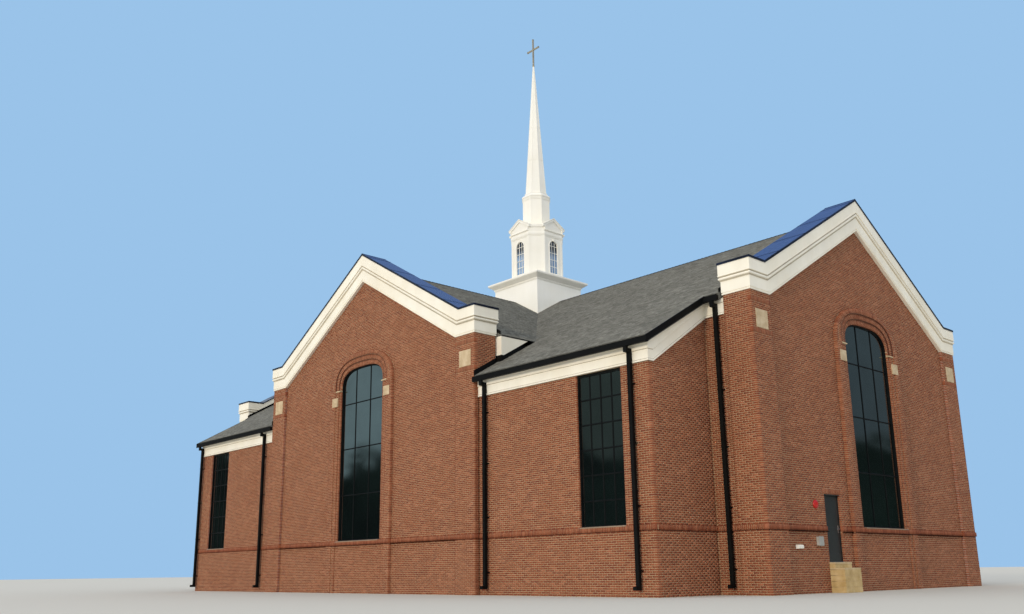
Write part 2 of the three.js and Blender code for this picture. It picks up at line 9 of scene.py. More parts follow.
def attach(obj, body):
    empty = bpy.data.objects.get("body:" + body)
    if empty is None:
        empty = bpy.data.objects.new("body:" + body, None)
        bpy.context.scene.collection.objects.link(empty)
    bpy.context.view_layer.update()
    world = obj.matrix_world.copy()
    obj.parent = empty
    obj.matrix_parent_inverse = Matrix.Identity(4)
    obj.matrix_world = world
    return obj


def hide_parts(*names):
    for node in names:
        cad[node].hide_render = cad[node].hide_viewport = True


# A brick church on a cross-shaped plan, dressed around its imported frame. Metres, +Z up.
# The gable pieces are made facing -Y and turned into place, the wing pieces are made for
# the south-east corner of the cross and mirrored into the others.

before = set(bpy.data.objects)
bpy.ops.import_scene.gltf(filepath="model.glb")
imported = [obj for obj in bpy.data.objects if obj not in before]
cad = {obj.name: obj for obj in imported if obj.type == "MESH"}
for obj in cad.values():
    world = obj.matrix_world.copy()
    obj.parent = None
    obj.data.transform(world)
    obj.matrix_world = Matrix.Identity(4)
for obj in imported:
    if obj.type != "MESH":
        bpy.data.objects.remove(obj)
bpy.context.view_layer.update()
print("frame:", len(cad), "nodes")


class Values(dict):  # a dictionary whose values are also read as church.ridge
    __getattr__ = dict.__getitem__


# Sizes of the building that its pieces share
church = Values(
    southFront=10.48, eastFront=17.05,  # brick face of the corner piers
    gableHalf=7.39, pierInner=6.30, returnDepth=1.01, recess=0.10,
    wingEnd=15.19, wingFace=10.27, armFace=7.29,
    beltFoot=1.90, beltTop=2.05, beltOut=0.03,
    cornerTop=10.35, peakTop=14.22, kink=6.589, corniceDeep=1.08,
    ridge=13.70, pitch=0.577, wingEave=10.50, armEave=7.52, sideEave=7.63,
    rakeEdge=15.40, fasciaOut=0.088, steepleHalf=1.53,
)
rakeSlope = (church.peakTop - church.cornerTop) / church.kink
rakeCos = 1 / math.hypot(1, rakeSlope)
copingBack = church.returnDepth + church.fasciaOut + 0.001
sides = [Values(name=name, front=church[front], turn=turn) for name, front, turn in (
    ("south", "southFront", 0), ("east", "eastFront", 90),
    ("north", "southFront", 180), ("west", "eastFront", 270))]
quarters = {"se": (1, 1), "sw": (-1, 1), "ne": (1, -1), "nw": (-1, -1)}

view = Values(place=(32.5905, -31.7972, 0.78), yaw=47.403, pitch=13.714, roll=-0.7275,
              lens=32.857, sensor=36.0, shiftY=0.0354, reach=2000.0)


def makeCamera():
    data = bpy.data.cameras.new("camera")
    data.lens, data.sensor_width = view.lens, view.sensor
    data.shift_y, data.clip_end = view.shiftY, view.reach
    camera = bpy.data.objects.new("camera", data)
    bpy.context.scene.collection.objects.link(camera)
    yaw, pitch, roll = (math.radians(view[k]) for k in ("yaw", "pitch", "roll"))
    ahead = Vector((-math.sin(yaw) * math.cos(pitch), math.cos(yaw) * math.cos(pitch), math.sin(pitch)))
    level = Vector((math.cos(yaw), math.sin(yaw), 0))
    over = level.cross(ahead)
    right = level * math.cos(roll) + over * math.sin(roll)
    top = over * math.cos(roll) - level * math.sin(roll)
    turned = Matrix((right, top, -ahead)).transposed().to_4x4()
    camera.matrix_world = Matrix.Translation(view.place) @ turned
    bpy.context.scene.camera = camera


makeCamera()


# Colours and nodes

def tint(code):
    parts = [int(code[i:i + 2], 16) / 255 for i in (0, 2, 4)]
    return tuple(p / 12.92 if p <= 0.04045 else ((p + 0.055) / 1.055) ** 2.4 for p in parts) + (1.0,)


# Adds a node and gives back one of its outputs. An input is a value or another node's output.
def put(tree, kind, inputs=None, take=0, **settings):
    made = tree.nodes.new(kind)
    for key, value in settings.items():
        setattr(made, key, value)
    for key, value in (inputs or {}).items():
        if isinstance(value, bpy.types.NodeSocket):
            tree.links.new(value, made.inputs[key])
        else:
            made.inputs[key].default_value = value
    return made.outputs[take]


def grain(tree, place, scale, detail=4.0, rough=0.6, stretch=None):
    if stretch:
        place = put(tree, "ShaderNodeMapping", {"Vector": place, "Scale": stretch})
    settings = {"Vector": place, "Scale": scale, "Detail": detail, "Roughness": rough}
    return put(tree, "ShaderNodeTexNoise", settings)


def ramp(tree, factor, stops):
    if isinstance(stops, str):  # shades at even steps
        codes = stops.split()
        stops = [(i / (len(codes) - 1), code) for i, code in enumerate(codes)]
    colour = put(tree, "ShaderNodeValToRGB", {"Fac": factor})
    elements = colour.node.color_ramp.elements
    while len(elements) < len(stops):
        elements.new(0.5)
    for element, (at, code) in zip(elements, stops):
        element.position = at
        element.color = tint(code)
    return colour


def ranged(tree, value, low=0.0, high=1.0, fromLow=0.3, fromHigh=0.7):
    spans = {"Value": value, "From Min": fromLow, "From Max": fromHigh, "To Min": low, "To Max": high}
    return put(tree, "ShaderNodeMapRange", spans)


def calc(tree, operation, a, b):
    return put(tree, "ShaderNodeMath", {0: a, 1: b}, operation=operation)


def dot(tree, a, b):
    return put(tree, "ShaderNodeVectorMath", {0: a, 1: b}, "Value", operation="DOT_PRODUCT")


def mixed(tree, factor, a, b, how="MIX"):
    return put(tree, "ShaderNodeMix", {0: factor, 6: a, 7: b}, 2, data_type="RGBA", blend_type=how)


def shaded(tree, colour, value):
    grey = put(tree, "ShaderNodeCombineColor", {0: value, 1: value, 2: value})
    return mixed(tree, 1.0, colour, grey, "MULTIPLY")


def newFinish(name, metal=0.0, shine=0.5):
    material = bpy.data.materials.new(name)
    material.use_nodes = True
    tree = material.node_tree
    inputs = tree.nodes["Principled BSDF"].inputs
    inputs["Metallic"].default_value, inputs["Specular IOR Level"].default_value = metal, shine
    return material, tree, put(tree, "ShaderNodeTexCoord", take="Object")


# Ties a colour to the shader, a grain to its roughness, and a grain to its bump
def finished(material, colour, coarse, rough, height, bump, deep):
    tree = material.node_tree
    inputs = tree.nodes["Principled BSDF"].inputs
    tree.links.new(colour, inputs["Base Color"])
    tree.links.new(ranged(tree, coarse, *rough), inputs["Roughness"])
    bumped = put(tree, "ShaderNodeBump", {"Height": height, "Strength": bump, "Distance": deep})
    tree.links.new(bumped, inputs["Normal"])
    return material


# Plain finishes: shades, scale of the broad and of the fine grain, speckle, roughness, bump, dirt, and
# where they aren't the usual ones metal, shine and depth of the bump
finishes = {
    "white": ("eee5d0 f8f2e2", 0.6, 40, 0.02, (0.38, 0.52), 0.12, 0.05),
    "steeple": ("f2eddf f8f4e9", 0.8, 30, 0.015, (0.34, 0.46), 0.08, 0.04),
    # steepleBase: the steeple's white painted lighter on the base, painted light on its shaded faces
    "steepleBase": ("faf6ea fefbf2", 0.8, 30, 0.015, (0.34, 0.46), 0.08, 0.04),
    # recess: the grey of the strips of painted shade in the cornice grooves and the frieze joints
    "recess": ("aea28b c2b7a1", 1.5, 40, 0.05, (0.6, 0.8), 0.1, 0.15),
    # coping: dark blue-black metal whose blue is partly a painted reflection of the sky
    "coping": ("151b28 22304a", 1.2, 60, 0.06, (0.16, 0.30), 0.06, 0.12, 0.55),
    "black": ("0b0c0b 131413", 1.5, 80, 0.08, (0.50, 0.68), 0.08, 0.2, 0.0, 0.10),
    "windowBar": ("090c0c 0f1313", 2.0, 90, 0.06, (0.50, 0.65), 0.05, 0.1, 0.0, 0.12),
    "limestone": ("b59d7b c3ac89 d0bc9b", 5.0, 120, 0.08, (0.78, 0.92), 0.35, 0.10),
    "step": ("b3955f c2a672 ceb485", 4.0, 90, 0.08, (0.74, 0.90), 0.30, 0.10),
    "tread": ("bea479 ceb88f", 4.0, 90, 0.07, (0.70, 0.88), 0.25, 0.10),
    "sill": ("8d7660 a18b73", 3.0, 70, 0.05, (0.7, 0.85), 0.2, 0.12),
    "cabinet": ("a9a8a2 bbbab3", 3.0, 70, 0.04, (0.4, 0.55), 0.08, 0.1, 0.3),
    "concrete": ("8f8b83 a6a299", 0.7, 25, 0.06, (0.6, 0.85), 0.2, 0.05),
    "doorPaint": ("1a2122 232b2b", 1.5, 70, 0.05, (0.30, 0.45), 0.08, 0.1),
    "steel": ("8d8f8f a8abab", 6.0, 200, 0.05, (0.22, 0.38), 0.05, 0.06, 0.9),
    "bronze": ("a89c7e c4b896", 3.0, 80, 0.06, (0.25, 0.40), 0.06, 0.06, 0.5),
    "redEnamel": ("a81510 c32018", 8.0, 120, 0.04, (0.22, 0.35), 0.04, 0.06),
    "lens": ("e8e4d8 f4f1e8", 6.0, 90, 0.02, (0.2, 0.3), 0.03, 0.06),
    # ridgeCap: nearly black, the dark of a ridge vent together with painted shade along the ridge
    "ridgeCap": ("1b1b1a 2c2b29", 6.0, 160, 0.25, (0.85, 0.98), 0.5, 0.06, 0.0, 0.5, 0.004),
}
streak = Values(scale=1.5, stretch=(1.0, 1.0, 0.08))  # rain streaks in the plain finishes


def plainFinish(name, shades, broad, fine, speckle, rough, bump, dirt, metal=0.0, shine=0.5, deep=0.002):
    material, tree, place = newFinish(name, metal, shine)
    fine = grain(tree, place, fine, detail=5.0)
    colour = ramp(tree, ranged(tree, grain(tree, place, broad)), shades)
    streaks = grain(tree, place, streak.scale, stretch=streak.stretch)
    colour = shaded(tree, colour, ranged(tree, streaks, 1.0 - dirt, 1.0 + dirt / 3))
    colour = shaded(tree, colour, ranged(tree, fine, 1.0 - speckle, 1.0 + speckle))
    return finished(material, colour, fine, rough, fine, bump, deep)


skins = {name: plainFinish(name, *look) for name, look in finishes.items()}

# The shades under the bricks' own tones colour only the strips of painted shadow under the belts and along
# the arches
clay = Values(
    shades=[(0.0, "35211a"), (0.065, "35211a"), (0.075, "5a3122"), (0.19, "5a3122"), (0.20, "743b29"),
            (0.38, "7e432d"), (0.57, "864a30"), (0.76, "905236"), (1.0, "a06246")],
    tones=(0.24, 1.0), darkJoint=0.0, brownJoint=0.13, patch=0.06, patchScale=0.35, speckle=0.10,
    mortar="b99e7a cab18d", plaster="cfcabd dad5ca",
)


def brickFinish():
    material, tree, place = newFinish("brick", shine=0.25)
    tone = put(tree, "ShaderNodeAttribute", take="Fac", attribute_name="tone")
    patch = ranged(tree, grain(tree, place, clay.patchScale), -clay.patch, clay.patch)
    fine = grain(tree, place, 70.0, detail=6.0, rough=0.7)
    pits = grain(tree, place, 260.0, detail=2.0)
    colour = ramp(tree, calc(tree, "ADD", tone, patch), clay.shades)
    colour = shaded(tree, colour, ranged(tree, fine, 1.0 - clay.speckle, 1.0 + clay.speckle))
    colour = shaded(tree, colour, ranged(tree, pits, 0.85, 1.0, 0.28, 0.42))
    return finished(material, colour, fine, (0.78, 0.95), fine, 0.4, 0.003)


# Mortar on the outer faces of the walls, plaster on the inner ones
def wallFinish():
    material, tree, place = newFinish("mortar", shine=0.2)
    fine = grain(tree, place, 110.0, detail=5.0)
    broad = ranged(tree, grain(tree, place, 0.8))
    shape = put(tree, "ShaderNodeNewGeometry").node.outputs
    flat = put(tree, "ShaderNodeVectorMath", {0: shape["Position"], 1: (1, 1, 0)}, operation="MULTIPLY")
    inside = calc(tree, "LESS_THAN", dot(tree, flat, shape["Normal"]), -4.0)
    colour = mixed(tree, inside, ramp(tree, broad, clay.mortar), ramp(tree, broad, clay.plaster))
    colour = shaded(tree, colour, ranged(tree, fine, 0.86, 1.08))
    return finished(material, colour, fine, (0.82, 0.97), fine, 0.35, 0.002)


asphalt = "61605a 6b6a63 73726b 7a7972 86857d"


def shingleFinish(name, toned):
    material, tree, place = newFinish(name, shine=0.15)
    if toned:
        tone = put(tree, "ShaderNodeAttribute", take="Fac", attribute_name="tone")
    else:
        tone = ranged(tree, grain(tree, place, 4.0, stretch=(1.0, 1.0, 3.0)), 0.0, 0.6)
    drift = ranged(tree, grain(tree, place, 0.5), -0.12, 0.12)
    granules = grain(tree, place, 190.0, detail=3.0, rough=0.8)
    colour = ramp(tree, calc(tree, "ADD", tone, drift), asphalt)
    colour = shaded(tree, colour, ranged(tree, grain(tree, place, 11.0, detail=4.0, rough=0.8), 0.76, 1.24))
    colour = shaded(tree, colour, ranged(tree, granules, 0.62, 1.35))
    return finished(material, colour, granules, (0.84, 0.98), granules, 0.6, 0.003)


# Coated glass: a dark mirror whose panes lean a little, so that each catches another light
glass = Values(shades="5c6c70 697b80", metal=0.98, wave=0.9, bump=0.12, rough=(0.03, 0.07))
# The belfry glass is coloured pale blue, a painted reflection of the sky
belfryGlass = Values(shades="86a2c4 a3bcd8", upper="2f3740 434d58", turn=(16.1, 16.5),
                     metal=0.35, wave=3.0, bump=0.15, rough=(0.05, 0.12))


def glassFinish(name, look):
    material, tree, place = newFinish(name, metal=look.metal, shine=0.6)
    film = grain(tree, place, 0.5, detail=3.0)
    colour = ramp(tree, ranged(tree, film), look.shades)
    if "upper" in look:  # the upper lights are darker than the lower ones
        height = put(tree, "ShaderNodeSeparateXYZ", {0: place}, "Z")
        above = ramp(tree, ranged(tree, film), look.upper)
        colour = mixed(tree, ranged(tree, height, 0.0, 1.0, *look.turn), colour, above)
    wave = grain(tree, place, look.wave, detail=1.0)
    return finished(material, colour, film, look.rough, wave, look.bump, 0.004)


skins.update(
    brick=brickFinish(), mortar=wallFinish(),
    shingle=shingleFinish("shingle", True), roofDeck=shingleFinish("roofDeck", False),
    glass=glassFinish("glass", glass), belfryGlass=glassFinish("belfryGlass", belfryGlass))
print("finishes:", len(skins))


# Making pieces

def placed(corners, turn=0, flips=(1, 1)):
    cos, sin = {0: (1, 0), 90: (0, 1), 180: (-1, 0), 270: (0, -1)}[turn]
    at = np.array(corners, float)
    x, y = at[..., 0] * flips[0], at[..., 1] * flips[1]
    return np.stack([cos * x - sin * y, sin * x + cos * y, at[..., 2]], -1)


def soften(piece, width):
    edges = piece.modifiers.new("edges", "BEVEL")
    edges.width, edges.segments = width, 2
    edges.limit_method, edges.angle_limit = "ANGLE", math.radians(40)


def addPiece(mesh, skin, body="building", bevel=0.0):
    piece = bpy.data.objects.new(mesh.name, mesh)
    bpy.context.scene.collection.objects.link(piece)
    mesh.materials.append(skins[skin])
    if bevel:
        soften(piece, bevel)
    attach(piece, body)
    return piece


# One mesh of many like parts. Blocks has the faces of one part, by their number of corners. Tones and
# flat hold the shade of each part and where its corners lie on the unrolled surface.
def laidPiece(name, skin, corners, blocks, mirrored, tones, flat):
    count, each = len(tones), len(corners) // len(tones)
    start = each * np.arange(count)[:, None, None]
    groups = [(np.array(block) + start).reshape(-1, len(block[0])) for block in blocks]
    if mirrored:
        groups = [faces[:, ::-1] for faces in groups]
    mesh = bpy.data.meshes.new(name)
    mesh.vertices.add(len(corners))
    mesh.vertices.foreach_set("co", np.asarray(corners, np.float32).ravel())
    loops = np.concatenate([faces.ravel() for faces in groups]).astype(np.int32)
    counts = np.concatenate([np.full(len(faces), faces.shape[1]) for faces in groups])
    mesh.loops.add(len(loops))
    mesh.loops.foreach_set("vertex_index", loops)
    mesh.polygons.add(len(counts))
    mesh.polygons.foreach_set("loop_start", (np.cumsum(counts) - counts).astype(np.int32))
    mesh.update(calc_edges=True)
    tone = mesh.attributes.new("tone", "FLOAT", "POINT")
    tone.data.foreach_set("value", np.repeat(tones, each).astype(np.float32))
    flat = flat.reshape(-1, 2)
    flat = (flat - flat.min(0)) / (flat.max(0) - flat.min(0))
    layer = mesh.uv_layers.new(name="OFBake")
    layer.data.foreach_set("uv", flat[loops].astype(np.float32).ravel())
    addPiece(mesh, skin)
    return count


class Shape:
    def __init__(self):
        self.corners, self.faces = [], []

    def add(self, corners, faces):
        start = len(self.corners)
        self.corners += [tuple(c) for c in corners]
        self.faces += [[start + i for i in face] for face in faces]

    def box(self, low, high):
        (a, d), (b, e), (c, f) = (sorted(pair) for pair in zip(low, high))
        self.add([(a, b, c), (d, b, c), (d, e, c), (a, e, c), (a, b, f), (d, b, f), (d, e, f), (a, e, f)],
                 [(0, 3, 2, 1), (4, 5, 6, 7), (0, 1, 5, 4), (1, 2, 6, 5), (2, 3, 7, 6), (3, 0, 4, 7)])

    # Two like rings of corners joined into a solid
    def joined(self, first, last):
        n = len(first)
        faces = [(i, (i + 1) % n, (i + 1) % n + n, i + n) for i in range(n)]
        self.add(first + last, faces + [tuple(range(n))[::-1], tuple(range(n, 2 * n))])

    # A closed section carried along a line: lineAt gives the line of each of its points
    def sweep(self, section, lineAt, loop=False):
        lines = [lineAt(*point) for point in section]
        count, steps = len(section), len(lines[0])
        faces = []
        for k in range(steps if loop else steps - 1):
            here, there = k * count, (k + 1) % steps * count
            for i in range(count):
                j = (i + 1) % count
                faces.append((here + i, here + j, there + j, there + i))
        if not loop:
            faces.append(tuple(range(count)))
            faces.append(tuple(range((steps - 1) * count, steps * count))[::-1])
        self.add([line[k] for k in range(steps) for line in lines], faces)

    def sweeps(self, sections, lineAt, loop=False):
        for section in sections:
            self.sweep(section, lineAt, loop)
        return self

    # Closed outlines: one in X and Z, from y0 to y1, and one in Y and Z, from x0 to x1
    def prism(self, outline, y0, y1):
        self.sweep(outline, lambda x, z: [(x, y0, z), (x, y1, z)])

    def beam(self, outline, x0, x1):
        self.sweep(outline, lambda y, z: [(x0, y, z), (x1, y, z)])

    def piece(self, name, skin, slot, turn=0, flips=(1, 1), body="building", bevel=0.0, smooth=False):
        mesh = bpy.data.meshes.new(name)
        mesh.from_pydata(placed(self.corners, turn, flips).tolist(), [], self.faces)
        shell = bmesh.new()
        shell.from_mesh(mesh)
        bmesh.ops.recalc_face_normals(shell, faces=shell.faces)
        shell.to_mesh(mesh)
        shell.free()
        if smooth:
            mesh.shade_smooth()
            mesh.set_sharp_from_angle(angle=math.radians(35))
        return addPiece(mesh, skin, body, bevel)


# The outline between two heights over a line of points
def band(points, low, high):
    return [(u, z + low) for u, z in points] + [(u, z + high) for u, z in points[::-1]]


# Brickwork. A wall plane has its start and its direction in plan, and its place on the unrolled
# wall. Bricks are laid in it as four-cornered faces, given by how far along and how high.
brick = Values(
    long=0.2032, course=0.2032 / 3, joint=0.010, proud=0.002, uneven=0.0004,
    cover=0.003, thinnest=0.012, narrowest=0.03, spread=0.004,
)
# How far behind a face the bricks of it reach
backs = Values(field=-0.19, surround=-0.125, pier=-0.105, middleRing=-0.07, belt=-0.05, arm=-0.02)


class Brickwork:
    def __init__(self, seed):
        self.random = np.random.default_rng(seed)
        self.corners, self.flat, self.tones = [], [], []

    def lay(self, faces, plane, out=0.0, back=-0.02, flip=False, lift=0.0, tone=None):
        count = len(faces)
        if not count:
            return
        (x, y), (ax, ay) = plane.start, plane.along
        proud = out + brick.proud + self.random.normal(0, brick.uneven, (count, 1))
        proud = proud + self.random.uniform(-1, 1, (count, 4)) * brick.uneven / 2
        proud = proud + lift * np.array([1, 1, 0, 0])  # the foot of a sloped brick stands further out
        outs = np.concatenate([proud, np.full((count, 4), back)], 1)
        flat = np.tile(np.asarray(faces, float), (1, 2, 1))
        along, high = flat[..., 0], flat[..., 1]
        at = np.stack([x + ax * along + ay * outs, y + ay * along - ax * outs, high], -1)
        spread = np.sign(flat - flat[:, :4].mean(1, keepdims=True)) * brick.spread
        flat[:, 4:] += spread[:, 4:]
        flat[..., 0] += plane.unrolled
        if flip:
            swapped = [1, 0, 3, 2, 5, 4, 7, 6]
            at = at[:, swapped] * np.array([-1, 1, 1])
            flat = flat[:, swapped] * np.array([-1, 1])
        self.corners.append(at)
        self.flat.append(flat)
        low, high = clay.tones
        tones = low + (high - low) * self.random.beta(2.2, 2.2, count)
        self.tones.append(tones if tone is None else np.full(count, tone))

    def both(self, faces, plane, **settings):
        self.lay(faces, plane, **settings)
        self.lay(faces, plane, flip=True, **settings)

    def piece(self, name, turn=0, flips=(1, 1)):
        corners = placed(np.concatenate(self.corners).reshape(-1, 3), turn, flips)
        block = [[0, 1, 2, 3], [0, 4, 5, 1], [3, 2, 6, 7], [0, 3, 7, 4], [1, 5, 6, 2]]
        return laidPiece(name, "brick", corners, [block], flips[0] * flips[1] < 0,
                         np.concatenate(self.tones), np.concatenate(self.flat))


# Bricks between two ends of a row. One that ends about a joint short of an end is drawn out to it.
def trimmed(left, right, start, end):
    near = 1.2 * brick.joint
    left = np.where(left - start < near, start, np.minimum(left, end))
    return left, np.where(end - right < near, end, np.maximum(right, start))


def courses(spansAt, low, high, base, edge=0.0):
    faces = []
    joint, long, tall = brick.joint, brick.long, brick.course
    row = math.floor((low - base) / tall + 0.01)
    while base + row * tall < high - brick.thinnest:
        foot = max(low, base + row * tall + joint / 2)
        head = min(high, base + (row + 1) * tall - joint / 2)
        offset = edge + (row % 2) * long / 2
        row += 1
        if head - foot < brick.thinnest:
            continue
        for (a, b), (c, d) in zip(spansAt(foot), spansAt(head)):
            if b - a + d - c < brick.narrowest:
                continue
            first, last = math.floor((min(a, c) - offset) / long), math.ceil((max(b, d) - offset) / long)
            left = offset + np.arange(first, last) * long + joint / 2
            right = left + long - joint
            footLeft, footRight = trimmed(left, right, a, b)
            headLeft, headRight = trimmed(left, right, c, d)
            keep = footRight - footLeft + headRight - headLeft > brick.narrowest
            footRight = np.maximum(footRight, footLeft + joint / 3)
            headRight = np.maximum(headRight, headLeft + joint / 3)
            across = np.stack([footLeft, footRight, headRight, headLeft], -1)[keep]
            up = np.broadcast_to(np.array([foot, foot, head, head]), across.shape)
            faces.append(np.stack([across, up], -1))
    return np.concatenate(faces) if faces else np.zeros((0, 4, 2))


# Courses between heights: each zone has its foot, its head and the line that its courses start from
def rise(lay, spansAt, zones, plane, edge=0.0, **settings):
    for low, high, base in zones:
        lay(courses(spansAt, low + 0.001, high, base, edge), plane, **settings)


# Unbroken strips, one for each span
def strips(spans, low, high):
    return np.array([[(a, low), (b, low), (b, high), (a, high)] for a, b in spans])


# Bricks set upright side by side
def uprights(spans, low, high):
    faces = []
    for a, b in spans:
        count = max(1, round((b - a) / brick.course))
        left = a + np.arange(count) * (b - a) / count + brick.joint / 2
        left[0] = a
        right = a + (np.arange(count) + 1) * (b - a) / count - brick.joint / 2
        right[-1] = b
        across = np.stack([left, right, right, left], -1)
        up = np.broadcast_to(np.array([low, low, high, high]), across.shape)
        faces.append(np.stack([across, up], -1))
    return np.concatenate(faces)


arch = Values(
    spring=8.44, opening=(1.54, 0.83, 3.0), inner=(1.67, 1.03, 2.9), middle=(1.89, 1.235, 2.8),
    outer=(2.27, 1.43, 2.3), outs=(0.020, -0.015, -0.050), joint=0.020, cover=0.010,
)


def grown(shape, by):
    return (shape[0] + by, shape[1] + by, shape[2])


def archHalf(shape, z):
    half, rise, power = shape
    up = (z - arch.spring) / rise
    return half if up <= 0 else half * (1 - min(up, 1.0) ** power) ** (1 / power)


def archTop(shape, across):
    half, rise, power = shape
    return arch.spring + rise * max(0.0, 1 - (abs(across) / half) ** power) ** (1 / power)


# Points of an arch at even steps of its length, from its right foot to its left one
def archLine(shape, fractions):
    half, rise, power = shape
    angle = np.linspace(0, np.pi, 1441)
    cos, sin = np.cos(angle), np.clip(np.sin(angle), 0, 1)
    across = half * np.sign(cos) * np.abs(cos) ** (2 / power)
    line = np.stack([across, arch.spring + rise * sin ** (2 / power)], -1)
    run = np.concatenate([[0], np.cumsum(np.linalg.norm(np.diff(line, axis=0), axis=1))])
    at = np.asarray(fractions) * run[-1]
    return np.stack([np.interp(at, run, line[:, 0]), np.interp(at, run, line[:, 1])], -1), run[-1]


# A strip of painted shadow that follows an arch, in short lengths
def archShadowStrip(inner, outer, count=72):
    ends = np.arange(count + 1) / count
    (a, _), (b, _) = archLine(inner, ends), archLine(outer, ends)
    return np.stack([a[:-1], b[:-1], b[1:], a[1:]], 1)


# A ring of bricks on edge between two arches, two deep where the ring is wide
def archRing(inner, outer):
    _, length = archLine(tuple((np.array(inner) + np.array(outer)) / 2), [0])
    count = 2 * round(length / brick.course / 2)
    edge = brick.joint / 2 / length
    first = np.arange(count) / count + edge
    last = (np.arange(count) + 1) / count - edge
    a, b, c, d = (archLine(shape, ends)[0] for shape, ends in (
        (inner, first), (outer, first), (outer, last), (inner, last)))
    whole = np.stack([a, b, c, d], 1)
    wide = np.linalg.norm(b - a, axis=1) > 0.30
    start, end = whole[wide][:, [0, 3]], whole[wide][:, [1, 2]]
    parts = [whole[~wide]]
    for low, high in ((0.0, 0.48), (0.52, 1.0)):
        near, far = start + (end - start) * low, start + (end - start) * high
        parts.append(np.stack([near[:, 0], far[:, 0], far[:, 1], near[:, 1]], 1))
    return np.concatenate(parts)


door = Values(y0=-3.86, y1=-2.90, lintelRow=15, bearing=0.10)
pier = Values(blockRow=89, blockRows=9, soldierRows=(86, 101), block=(6.52, 7.18))
surroundStone = Values(across=(1.70, 2.12), z=(7.74, 8.12))
impost = Values(across=(1.535, 1.90), z=(8.375, 8.42))
# The belt's joint is the height of the strip of painted shadow under it; jointOut is how far that strip
# stands out
belt = Values(joint=0.016, jointOut=0.004, lift=0.006)


def rowZ(row):
    return church.beltTop + row * brick.course


# The zones of a wall under the belt and over it
def storeys(top):
    c = church
    return [(0.0, c.beltFoot - belt.joint - 0.002, c.beltFoot), (c.beltTop, top, c.beltTop)]


